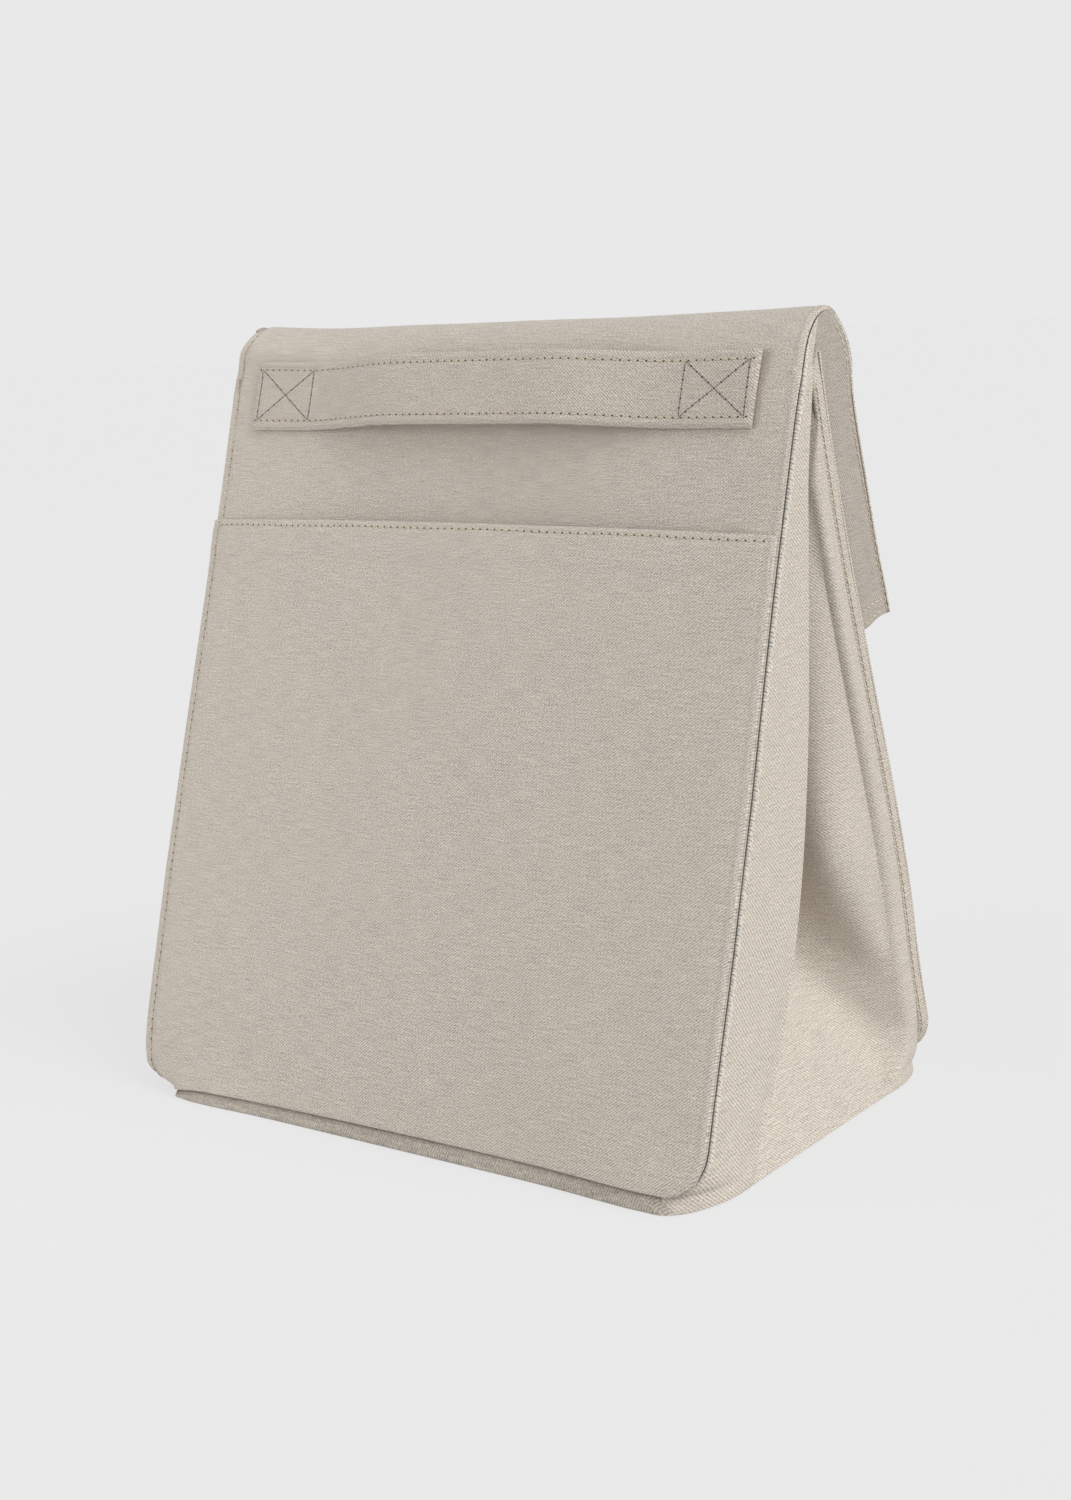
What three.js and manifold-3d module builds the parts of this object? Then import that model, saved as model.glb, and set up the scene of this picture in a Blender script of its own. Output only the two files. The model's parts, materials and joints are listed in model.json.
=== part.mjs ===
// Insulated lunch bag with a fold-over top, standing on its base.
// Millimetres. +X is right seen from the front, the front faces -Y, +Z is up.
// The origin is the middle of the foot, on the ground.

import * as THREE from 'three';
import { mergeVertices } from 'three/addons/utils/BufferGeometryUtils.js';
import Module from 'manifold-3d';

const wasm = await Module();
wasm.setup();

// Overall sizes of the bag, folded shut
const bagWidth = 240;           // across the side seam edges
const baseDepth = 154;          // front to back at the foot
const foldHeight = 263.5;       // ground to the top of the fold
const flapDrop = 100.5;         // top of the fold down to the outer leaf's hem

// Side profile of the walls and the fold
const foldOffset = 14.8;        // how far behind the middle the fold stands
const foldWidth = 36.5;         // across the fold, front wall to outer leaf
const frontBendDrop = 25.5;     // below the top, where the front wall starts to bend
const flapStartDrop = 20.5;     // below the top, where the outer leaf hangs straight
const flapLean = 0.27;          // outward lean of the outer leaf, radians
const frontPanelEndDrop = 10.5; // below the top, where the front wall ends and the fold starts
const backTopDrop = 13.5;       // below the top, where the back panel folds over
const backTopInset = 3.8;       // the back panel's top, in front of the fold's middle
const backBelly = 11.4;         // how far the lower back curve is pulled out
const backTuck = 7.3;           // how far the upper back curve is pulled in

// Layers of the wall, from outside to inside
const gap = 0.3;                // clearance between touching pieces
const skin = 1.0;               // outer cloth
const wallFoam = 3.0;           // front and back insulation
const gussetFoam = 2.5;         // gusset insulation
const lining = 0.6;             // wipe-clean lining

// Foot
const baseCorner = 24;          // radius of the foot's corners
const baseRim = 5;              // height that the base cloth wraps up
const baseFoam = 3;
const boardThickness = 2;
const footRound = 1.5;          // softening of the foot's lower edge

// Gussets
const gussetInset = 1;          // the gusset stands inside the seam edge
const seamLap = 5.6;            // turn of the gusset behind the seam
const foldLap = 1.6;            // the same turn, squeezed flat at the fold
const cornerRise = 31;          // height at which the bottom corners have died out
const backStrip = 11.5;         // flat strip of the gusset beside the back seam
const crestTop = 5;             // front crest of the gusset: place where it settles
const crestReach = 53;          // how far forward the crest runs at the ground
const crestSettle = 65;         // height over which it settles
const tuckApex = 63;            // height of the point of the lower triangle
const valleyFloor = 2.4;        // width of the bottom of the inward fold
const footRidge = 3;            // how far the lower triangle's sides start from its corners
const crestClear = 1;           // least flat cloth between the front turn and the crest
const stripClear = 4;           // least width of the flat strips beside the seams
const gussetTopDrop = 20.5;
const gussetPadDrop = 58.5;     // gusset foam and lining stop this far below the top
const wallPadDrop = 36;         // wall foam stops this far below the top
const liningLift = 1;           // the lining runs this far above the wall foam
const liningTurn = 6;           // height over which it then moves out to the cloth

// Pocket
const pocketDrop = 42.9;        // down the front wall, from where it bends to the pocket's mouth
const pocketBulge = 7;          // how far the mouth stands off in the middle

// Handle strap
const strapRise = 1.3;          // up the front wall, from where it bends to the strap's middle
const strapWidth = 24.5;
const strapSideGap = 15;        // from the bag's side edge to the strap's end
const strapThickness = 2.4;
const sewnLength = 27;          // each end that is sewn flat
const gripLength = 96;          // straight middle of the strap
const gripRise = 9;             // room for fingers behind the middle
const stitchWidth = 23.4;       // box of stitching, along the strap
const stitchHeight = 18;
const thread = 0.8;

// Flap leaves and their closure
const innerHemDrop = 102;       // top of the fold down to the inner leaf's hem
const loopTape = 1.2;
const hookTape = 1.5;
const tapeLength = 120;
const tapeWidth = 20;
const tapeDrop = 88;            // top of the fold down to the tapes' lower edge
const flapInset = 1.5;          // the flap is drawn in at each side
const flapValley = 50;          // the flap's side folds stop this far from the middle
const flapTurn = 0.76;          // share of the mouth's depth that its flat sides take
const flapValleyShare = 0.84;   // place of the side folds' inner edge in the mouth's depth
const flapSideDraw = 3;         // how far the flat sides lean in
const flapSideStart = 6;        // below the start of the outer leaf, where they begin

// Counts of rows, columns and arc steps in the meshes
const wallColumns = 6;
const pocketColumns = 10;
const cornerSteps = 5;
const turnSteps = 4;
const foldSteps = 10;
const leafSteps = 4;
const slopeSteps = 6;
const searchSteps = 40;

// Cloth and trim colours
const cloth = { color: 0xb3a695, roughness: 0.95, metalness: 0 };
const sideCloth = { color: 0xc2b7a8, roughness: 0.95, metalness: 0 };
const padding = { color: 0xf0efe9, roughness: 0.9, metalness: 0 };
const foil = { color: 0xd5d7d8, roughness: 0.4, metalness: 0.1 };
const board = { color: 0x4a4a48, roughness: 0.7, metalness: 0 };
const darkThread = { color: 0x3d3a38, roughness: 0.8, metalness: 0 };
const tape = { color: 0xa89c8b, roughness: 0.95, metalness: 0 };

// Values that follow from the sizes above
const halfWidth = bagWidth / 2;
const gussetX = halfWidth - gussetInset;
const wallStack = skin + gap + wallFoam + gap + lining;
const gussetStack = skin + gap + gussetFoam + gap + lining;
const leafGap = loopTape + hookTape + 3 * gap;
const wallFoot = baseRim + gap;
const backTop = foldHeight - backTopDrop;

// Outer side profile: front wall, fold and outer leaf, as one path in (y, z)
const frontFoot = new THREE.Vector2(-baseDepth / 2, 0);
const frontBend = new THREE.Vector2(foldOffset - foldWidth / 2, foldHeight - frontBendDrop);
const flapStart = new THREE.Vector2(foldOffset + foldWidth / 2, foldHeight - flapStartDrop);
const flapDirection = new THREE.Vector2(Math.sin(flapLean), -Math.cos(flapLean));
const flapLength = (flapDrop - flapStartDrop) / Math.cos(flapLean);
const frontDirection = frontBend.clone().sub(frontFoot).normalize();
const frontCos = frontDirection.y;
const bendAt = frontBend.distanceTo(frontFoot);
const pocketMouth = bendAt - pocketDrop;
const strapCentre = bendAt + strapRise;

// Pull of the fold's curve at both ends, so that its top reaches the fold's height
const foldPull = (8 * foldHeight - 4 * frontBend.y - 4 * flapStart.y)
  / (3 * (frontDirection.y - flapDirection.y));

const frontPath = new THREE.CurvePath();
frontPath.add(new THREE.LineCurve(frontFoot, frontBend));
frontPath.add(new THREE.CubicBezierCurve(
  frontBend,
  frontBend.clone().addScaledVector(frontDirection, foldPull),
  flapStart.clone().addScaledVector(flapDirection, -foldPull),
  flapStart,
));
frontPath.add(new THREE.LineCurve(
  flapStart,
  flapStart.clone().addScaledVector(flapDirection, flapLength),
));
const pathLength = frontPath.getLength();
const flapStartAt = pathLength - flapLength;

// Point of the outer profile at a length along it, moved inwards by a depth
function frontAt(along, depth) {
  const part = Math.min(along / pathLength, 1);
  const point = frontPath.getPoint(part);
  const tangent = frontPath.getTangent(part);
  return new THREE.Vector2(point.x + tangent.y * depth, point.y - tangent.x * depth);
}

// Length along the profile at which the front side reaches a height
function alongAtHeight(z) {
  let low = 0;
  let high = bendAt + foldWidth;
  for (let step = 0; step < searchSteps; step += 1) {
    const middle = (low + high) / 2;
    if (frontAt(middle, 0).y < z) {
      low = middle;
    } else {
      high = middle;
    }
  }
  return low;
}

// Outer face of the front wall at a height, moved inwards by a depth
function frontY(z, depth) {
  const slope = frontDirection.x / frontDirection.y;
  return frontFoot.x + slope * z + depth / frontCos;
}

// Back panel: a curve in (y, z) whose height grows evenly
const backFootY = baseDepth / 2 - gap * 2;
const backTopY = foldOffset - backTopInset;
const backLine = (share) => backFootY + (backTopY - backFootY) * share;
const backCurve = new THREE.CubicBezierCurve(
  new THREE.Vector2(backFootY, 0),
  new THREE.Vector2(backLine(1 / 3) + backBelly, backTop / 3),
  new THREE.Vector2(backLine(2 / 3) - backTuck, (backTop * 2) / 3),
  new THREE.Vector2(backTopY, backTop),
);
const backCos = backTop / Math.hypot(backTop, backFootY - backTopY);

// Outer face of the back wall at a height, moved inwards by a depth
function backY(z, depth) {
  return backCurve.getPoint(Math.min(z / backTop, 1)).x - depth / backCos;
}

// Inward step of the rounded bottom corners, from one size at the foot to another above
function cornerInset(z, foot, above) {
  const rise = THREE.MathUtils.clamp((cornerRise - z) / (cornerRise - wallFoot), 0, 1);
  return above + (foot - above) * (1 - Math.sqrt(1 - rise * rise));
}

// Evenly spaced numbers from one value to another
function steps(from, to, count) {
  return Array.from({ length: count + 1 }, (_, i) => from + ((to - from) * i) / count);
}

// Heights at which every wall layer has a row, with closer rows at the corners
const gussetPadTop = foldHeight - gussetPadDrop;
const gussetTop = foldHeight - gussetTopDrop;
const wallPadTop = foldHeight - wallPadDrop;
const wallLevels = [
  ...steps(wallFoot, cornerRise, 4),
  ...steps(cornerRise, tuckApex, 2).slice(1),
  ...steps(tuckApex, gussetPadTop, 7).slice(1),
  ...steps(gussetPadTop, gussetTop, 3).slice(1),
];

// The rows of one layer, between its own lower and upper edge
function wallRows(from, to) {
  return [from, ...wallLevels.filter((z) => z > from + gap && z < to - gap), to];
}

// Closed solid between two grids of points with the same rows and columns
function sheetGeometry(outer, inner) {
  const rows = outer.length;
  const columns = outer[0].length;
  const points = [...outer.flat(), ...inner.flat()];
  const outerAt = (r, c) => r * columns + c;
  const innerAt = (r, c) => rows * columns + r * columns + c;
  const index = [];
  const quad = (a, b, c, d) => index.push(a, b, c, a, c, d);
  for (let r = 0; r < rows - 1; r += 1) {
    for (let c = 0; c < columns - 1; c += 1) {
      quad(outerAt(r, c), outerAt(r, c + 1), outerAt(r + 1, c + 1), outerAt(r + 1, c));
      quad(innerAt(r, c), innerAt(r + 1, c), innerAt(r + 1, c + 1), innerAt(r, c + 1));
    }
  }
  for (let c = 0; c < columns - 1; c += 1) {
    const top = rows - 1;
    quad(outerAt(0, c), innerAt(0, c), innerAt(0, c + 1), outerAt(0, c + 1));
    quad(outerAt(top, c), outerAt(top, c + 1), innerAt(top, c + 1), innerAt(top, c));
  }
  for (let r = 0; r < rows - 1; r += 1) {
    const end = columns - 1;
    quad(outerAt(r, 0), outerAt(r + 1, 0), innerAt(r + 1, 0), innerAt(r, 0));
    quad(outerAt(r, end), innerAt(r, end), innerAt(r + 1, end), outerAt(r + 1, end));
  }
  return closedGeometry(points, index);
}

// Closed solid through a stack of level rings with the same number of points
function stackGeometry(rings) {
  const count = rings[0].length;
  const points = rings.flat();
  const index = [];
  rings.slice(1).forEach((_, level) => {
    for (let i = 0; i < count; i += 1) {
      const next = (i + 1) % count;
      const low = level * count;
      const high = low + count;
      index.push(low + i, low + next, high + next, low + i, high + next, high + i);
    }
  });
  const top = (rings.length - 1) * count;
  for (let i = 1; i < count - 1; i += 1) {
    index.push(0, i + 1, i);
    index.push(top, top + i, top + i + 1);
  }
  return closedGeometry(points, index);
}

// Geometry from points and triangles, with its faces turned outwards
function closedGeometry(points, index) {
  let volume = 0;
  for (let i = 0; i < index.length; i += 3) {
    const [a, b, c] = [points[index[i]], points[index[i + 1]], points[index[i + 2]]];
    volume += a.dot(new THREE.Vector3().crossVectors(b, c));
  }
  const facing = volume > 0 ? index : index.slice().reverse();
  const geometry = new THREE.BufferGeometry();
  geometry.setAttribute(
    'position',
    new THREE.Float32BufferAttribute(points.flatMap((p) => [p.x, p.y, p.z]), 3),
  );
  geometry.setIndex(facing);
  geometry.computeVertexNormals();
  return geometry;
}

// Solid of the boolean library from a closed geometry, and back
function toSolid(geometry) {
  const bare = geometry.clone();
  bare.deleteAttribute('normal');
  bare.deleteAttribute('uv');
  const merged = mergeVertices(bare, 1e-4);
  return new wasm.Manifold(new wasm.Mesh({
    numProp: 3,
    vertProperties: Float32Array.from(merged.attributes.position.array),
    triVerts: Uint32Array.from(merged.index.array),
  }));
}

function fromSolid(solid) {
  const mesh = solid.getMesh();
  const geometry = new THREE.BufferGeometry();
  geometry.setAttribute('position', new THREE.Float32BufferAttribute(mesh.vertProperties, 3));
  geometry.setIndex(Array.from(mesh.triVerts));
  geometry.computeVertexNormals();
  return geometry;
}

// The same closed geometry, mirrored to the other side of the bag
function mirrored(geometry) {
  const copy = geometry.clone();
  copy.scale(-1, 1, 1);
  copy.setIndex(Array.from(geometry.index.array).reverse());
  copy.computeVertexNormals();
  return copy;
}

const bag = new THREE.Group();

function addPiece(name, geometry, look) {
  const mesh = new THREE.Mesh(geometry, new THREE.MeshStandardMaterial(look));
  mesh.name = name;
  bag.add(mesh);
}

// The right piece as given, and the left one as its mirror image
function addPair(name, rightGeometry, look) {
  addPiece(`${name}_right`, rightGeometry, look);
  addPiece(`${name}_left`, mirrored(rightGeometry), look);
}

// Grid of points across the bag: one row for each place, one column for each share of width
function widthGrid(places, columns, halfAt, pointAt) {
  return places.map((place) => steps(-1, 1, columns).map((share) => {
    const point = pointAt(place, share);
    return new THREE.Vector3(halfAt(place) * share, point.x, point.y);
  }));
}

// Wall layer with level rows, between two depths behind an outer face
function wallLayer(rows, halfAt, faceY, nearDepth, farDepth) {
  const grid = (depthAt) => widthGrid(rows, wallColumns, halfAt, (z) => new THREE.Vector2(
    faceY(z, typeof depthAt === 'function' ? depthAt(z) : depthAt),
    z,
  ));
  return sheetGeometry(grid(nearDepth), grid(farDepth));
}

// Cloth layer that follows the outer profile between two lengths along it
function profileLayer(places, halfAt, nearDepth, farDepth) {
  const grid = (depth) => widthGrid(places, wallColumns, halfAt, (along) => frontAt(along, depth));
  return sheetGeometry(grid(nearDepth), grid(farDepth));
}

// Half widths
const skinHalf = (z) => halfWidth - cornerInset(z, baseCorner, 0);
const innerHalf = (z) => gussetX - cornerInset(z, baseCorner, seamTurn(z)) - gap;

// Turn of the gusset behind the seam: full over the padding, squeezed flat at the fold
function seamTurn(z) {
  const share = (z - gussetPadTop) / (gussetTop - gussetPadTop);
  return THREE.MathUtils.lerp(seamLap, foldLap, THREE.MathUtils.clamp(share, 0, 1));
}

// Foam of a wall, and its lining: behind the foam, and above it close to the cloth
function addWallInside(side, faceY) {
  const bendLow = wallPadTop + liningLift;
  const bendHigh = bendLow + liningTurn;
  const near = (z) => (z < bendHigh ? wallStack - lining : skin + gap);
  const rows = [...wallRows(wallFoot, bendLow), bendHigh, gussetTop];
  addPiece(
    `${side}_insulation`,
    wallLayer(wallRows(wallFoot, wallPadTop), innerHalf, faceY, skin + gap, skin + gap + wallFoam),
    padding,
  );
  addPiece(
    `${side}_lining`,
    wallLayer(rows, innerHalf, faceY, near, (z) => near(z) + lining),
    foil,
  );
}

// Front wall
function addFront() {
  const endHeight = foldHeight - frontPanelEndDrop;
  const bendRows = steps(frontBend.y, endHeight, 3).slice(1);
  const places = [...wallRows(wallFoot, frontBend.y), ...bendRows].map(alongAtHeight);
  const halfAlong = (along) => skinHalf(frontAt(along, 0).y);
  addPiece('front_panel', profileLayer(places, halfAlong, 0, skin), cloth);
  addWallInside('front', frontY);
}

// Back wall
function addBack() {
  const rows = wallRows(wallFoot, backTop);
  addPiece('back_panel', wallLayer(rows, skinHalf, backY, 0, skin), cloth);
  addWallInside('back', backY);
}

// Outer face of the right gusset at a height, as a line of (x, y) from front to back
function gussetLine(z) {
  const turn = cornerInset(z, baseCorner, seamTurn(z));
  const front = frontY(z, skin + gap);
  const back = backY(z, skin + gap);
  const crest = crestAt(z);
  const strip = backStripAt(z);
  const apexDepth = tuckDepth(tuckApex);
  const depth = z < tuckApex ? (apexDepth * z) / tuckApex : tuckDepth(z);
  let ridgeFront = (crest + strip - valleyFloor) / 2;
  let ridgeBack = (crest + strip + valleyFloor) / 2;
  if (z < tuckApex) {
    const share = z / tuckApex;
    const apexCrest = crestAt(tuckApex);
    const apexStrip = backStripAt(tuckApex);
    const half = (apexStrip - apexCrest - valleyFloor) / 2;
    ridgeFront = crest + half * share + footRidge * (1 - share);
    ridgeBack = strip - half * share - footRidge * (1 - share);
  }
  const quarter = steps(0, Math.PI / 2, turnSteps);
  const frontTurn = quarter.map((angle) => new THREE.Vector2(
    gussetX - turn + turn * Math.sin(angle),
    front + turn - turn * Math.cos(angle),
  ));
  const backTurn = quarter.map((angle) => new THREE.Vector2(
    gussetX - turn + turn * Math.cos(angle),
    back - turn + turn * Math.sin(angle),
  ));
  return [
    ...frontTurn,
    new THREE.Vector2(gussetX, crest),
    new THREE.Vector2(gussetX - depth, ridgeFront),
    new THREE.Vector2(gussetX - depth, ridgeBack),
    new THREE.Vector2(gussetX, strip),
    ...backTurn,
  ];
}

// Place of the gusset's front crest at a height
function crestAt(z) {
  const turn = cornerInset(z, baseCorner, seamTurn(z));
  const settled = crestTop - crestReach * Math.exp(-z / crestSettle);
  return Math.max(settled, frontY(z, skin + gap) + turn + crestClear);
}

// Place where the flat strip beside the back seam ends
function backStripAt(z) {
  const turn = cornerInset(z, baseCorner, seamTurn(z));
  const back = backY(z, skin + gap);
  return Math.max(back - Math.max(backStrip, turn + stripClear), crestAt(z) + stripClear);
}

// Depth of the inward fold: the cloth between the seams keeps its length
function tuckDepth(z) {
  const frontPart = crestAt(z) - frontY(z, skin + gap);
  const backPart = backY(z, skin + gap) - backStripAt(z);
  const leg = (baseDepth - frontPart - backPart) / 2;
  const half = (backStripAt(z) - crestAt(z)) / 2;
  return Math.sqrt(leg * leg - half * half);
}

// A line moved to its inner side by a distance, with mitred corners. Its two ends move
// square to their own pieces, or along the directions given for them
function offsetLine(line, distance, firstNormal, lastNormal) {
  const normals = line.slice(1).map((point, i) => {
    const along = point.clone().sub(line[i]).normalize();
    return new THREE.Vector2(-along.y, along.x);
  });
  const moved = line.map((point, i) => {
    const before = normals[Math.max(i - 1, 0)];
    const after = normals[Math.min(i, normals.length - 1)];
    const middle = before.clone().add(after).normalize();
    return point.clone().addScaledVector(middle, distance / middle.dot(after));
  });
  const end = line.length - 1;
  if (firstNormal) {
    moved[0] = line[0].clone().addScaledVector(firstNormal, distance);
  }
  if (lastNormal) {
    moved[end] = line[end].clone().addScaledVector(lastNormal, distance);
  }
  return moved;
}

// Layer of the right gusset between two depths behind its outer face
function gussetLayer(rows, nearDepth, farDepth) {
  const inwards = new THREE.Vector2(0, 1);
  const forwards = new THREE.Vector2(0, -1);
  const grid = (depth) => rows.map((z) => offsetLine(gussetLine(z), depth, inwards, forwards)
    .map((point) => new THREE.Vector3(point.x, point.y, z)));
  return sheetGeometry(grid(nearDepth), grid(farDepth));
}

function addGussets() {
  const padRows = wallRows(wallFoot, gussetPadTop);
  addPair('gusset', gussetLayer(wallRows(wallFoot, gussetTop), 0, skin), sideCloth);
  addPair(
    'gusset_insulation',
    gussetLayer(padRows, skin + gap, skin + gap + gussetFoam),
    padding,
  );
  addPair('gusset_lining', gussetLayer(padRows, gussetStack - lining, gussetStack), foil);
}

// Level ring round the foot: a rectangle with round corners, set in from the foot's edge
function footRing(z, inset, corner) {
  const halfX = gussetX - inset;
  const front = frontY(z, inset);
  const back = backY(z, inset);
  const centres = [
    [halfX - corner, front + corner, -Math.PI / 2],
    [halfX - corner, back - corner, 0],
    [corner - halfX, back - corner, Math.PI / 2],
    [corner - halfX, front + corner, Math.PI],
  ];
  return centres.flatMap(([x, y, start]) => steps(start, start + Math.PI / 2, cornerSteps)
    .map((angle) => new THREE.Vector3(
      x + corner * Math.cos(angle),
      y + corner * Math.sin(angle),
      z,
    )));
}

function footStack(levels) {
  return stackGeometry(levels.map(([z, inset]) => footRing(z, inset, baseCorner - inset)));
}

// Foot: cloth tray, insulation, board and lining
function addBase() {
  const block = footStack([[0, footRound], [footRound, 0], [baseRim, 0]]);
  const hollow = footStack([[skin, skin], [baseRim + skin, skin]]);
  addPiece('base_panel', fromSolid(toSolid(block).subtract(toSolid(hollow))), cloth);
  const foamFoot = skin + gap;
  const boardFoot = foamFoot + baseFoam + gap;
  const liningFoot = boardFoot + boardThickness + gap;
  const apexSlope = tuckDepth(tuckApex) / tuckApex;
  const wallInset = wallStack + gap;
  const sideInset = gussetStack + gap + apexSlope * (liningFoot + lining);
  const inset = Math.max(wallInset, sideInset);
  addPiece(
    'base_insulation',
    footStack([[foamFoot, skin + gap], [foamFoot + baseFoam, skin + gap]]),
    padding,
  );
  addPiece(
    'base_board',
    footStack([[boardFoot, inset], [boardFoot + boardThickness, inset]]),
    board,
  );
  addPiece(
    'base_lining',
    footStack([[liningFoot, inset], [liningFoot + lining, inset]]),
    foil,
  );
}

// Pocket: cloth laid on the front panel, open and slightly proud at its mouth
function addPocket() {
  const foot = alongAtHeight(wallFoot);
  const places = [...steps(foot, cornerRise, 4), ...steps(cornerRise, pocketMouth, 6).slice(1)];
  const half = (along) => skinHalf(frontAt(along, 0).y) - gap;
  const stand = (along, share) => {
    const rise = Math.sin(((along - foot) / (pocketMouth - foot)) * (Math.PI / 2));
    return gap + pocketBulge * (1 - share * share) * rise;
  };
  const grid = (extra) => widthGrid(places, pocketColumns, half, (along, share) => (
    frontAt(along, -stand(along, share) - extra)
  ));
  addPiece('front_pocket', sheetGeometry(grid(skin), grid(0)), cloth);
}

// The strap lies along a straight line across the front wall
const strapPoint = frontAt(strapCentre, 0);
const strapUp = frontPath.getTangent(strapCentre / pathLength);
const strapOut = new THREE.Vector2(-strapUp.y, strapUp.x);

// Point beside the strap's centre line: x across the bag, up the wall, out from it
function strapAt(x, up, out) {
  const point = strapPoint.clone().addScaledVector(strapUp, up).addScaledVector(strapOut, out);
  return new THREE.Vector3(x, point.x, point.y);
}

// Strap piece along x, whose back face stands off the wall by a rise at each place
function strapPiece(places) {
  const face = (extra) => places.map(([x, rise]) => [-0.5, 0.5].map((share) => (
    strapAt(x, share * strapWidth, rise + extra)
  )));
  return sheetGeometry(face(strapThickness), face(0));
}

function addHandle() {
  const outerEnd = halfWidth - strapSideGap;
  const sewnEnd = outerEnd - sewnLength;
  const gripEnd = gripLength / 2;
  const slopeStart = sewnEnd - gap;
  const slopeEnd = gripEnd + gap;
  addPair('handle_end', strapPiece([[sewnEnd, gap], [outerEnd, gap]]), cloth);
  const slope = steps(0, 1, slopeSteps).map((share) => [
    THREE.MathUtils.lerp(slopeStart, slopeEnd, share),
    THREE.MathUtils.lerp(gap, gripRise, (1 - Math.cos(share * Math.PI)) / 2),
  ]);
  addPair('handle_slope', strapPiece(slope), cloth);
  addPiece('handle_grip', strapPiece([[-gripEnd, gripRise], [gripEnd, gripRise]]), cloth);
  addPair('handle_stitching', stitchBox((sewnEnd + outerEnd) / 2), darkThread);
}

// Box of stitching with a cross in it, laid on the sewn end at x
function stitchBox(x) {
  const halfX = stitchWidth / 2;
  const halfY = stitchHeight / 2;
  const outline = new THREE.Shape([
    new THREE.Vector2(-halfX, -halfY),
    new THREE.Vector2(halfX, -halfY),
    new THREE.Vector2(halfX, halfY),
    new THREE.Vector2(-halfX, halfY),
  ]);
  const longSide = halfX - thread * 2;
  const shortSide = halfY - thread * 2;
  const triangles = [
    [[-longSide, -halfY + thread], [longSide, -halfY + thread], [0, -thread]],
    [[longSide, halfY - thread], [-longSide, halfY - thread], [0, thread]],
    [[halfX - thread, -shortSide], [halfX - thread, shortSide], [thread, 0]],
    [[-halfX + thread, shortSide], [-halfX + thread, -shortSide], [-thread, 0]],
  ];
  triangles.forEach((corners) => {
    outline.holes.push(new THREE.Path(corners.map(([u, v]) => new THREE.Vector2(u, v))));
  });
  const geometry = new THREE.ExtrudeGeometry(outline, { depth: thread, bevelEnabled: false });
  const place = new THREE.Matrix4().makeBasis(
    new THREE.Vector3(1, 0, 0),
    new THREE.Vector3(0, strapUp.x, strapUp.y),
    new THREE.Vector3(0, strapOut.x, strapOut.y),
  );
  place.setPosition(strapAt(x, 0, gap + strapThickness + gap));
  geometry.applyMatrix4(place);
  return fromSolid(toSolid(geometry));
}

// Fold of the front cloth over the top, and of the back cloth inside it
const flapHalf = () => halfWidth - flapInset;

function addFolds() {
  const start = alongAtHeight(foldHeight - frontPanelEndDrop) + gap;
  const places = steps(start, flapStartAt - gap, foldSteps);
  addPiece('front_panel_fold', profileLayer(places, flapHalf, 0, skin), cloth);
  const middle = backY(backTop, -leafGap / 2);
  const ring = (radius) => steps(Math.PI, 0, foldSteps).map((angle) => [-1, 1].map((side) => (
    new THREE.Vector3(
      side * flapHalf(),
      middle + radius * Math.cos(angle),
      backTop + gap + radius * Math.sin(angle),
    )
  )));
  const inside = leafGap / backCos / 2;
  addPiece('back_panel_fold', sheetGeometry(ring(inside + skin), ring(inside)), cloth);
}

// Outer leaf of the flap: the front cloth and lining, hanging behind the bag
function addOuterLeaf() {
  const places = steps(flapStartAt, pathLength, leafSteps);
  addPiece('front_panel_flap', profileLayer(places, flapHalf, 0, skin), cloth);
  addPiece(
    'front_lining_flap',
    profileLayer(places, flapHalf, skin + gap, skin + gap + lining),
    foil,
  );
}

// Inner leaf of the flap: the back cloth and lining, folded down against the back panel
function addInnerLeaf() {
  const rows = wallRows(foldHeight - innerHemDrop, backTop);
  addPiece(
    'back_panel_flap',
    wallLayer(rows, flapHalf, backY, -leafGap - skin, -leafGap),
    cloth,
  );
  addPiece(
    'back_lining_flap',
    wallLayer(rows, flapHalf, backY, -leafGap - skin - gap - lining, -leafGap - skin - gap),
    foil,
  );
}

// Loop tape on the back panel, and hook tape on the inner leaf
function addTapes() {
  const low = foldHeight - tapeDrop;
  const rows = steps(low, low + tapeWidth, 2);
  const half = () => tapeLength / 2;
  addPiece('closure_loop_tape', wallLayer(rows, half, backY, -gap - loopTape, -gap), tape);
  addPiece(
    'closure_hook_tape',
    wallLayer(rows, half, backY, gap - leafGap, gap - leafGap + hookTape),
    tape,
  );
}

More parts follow.
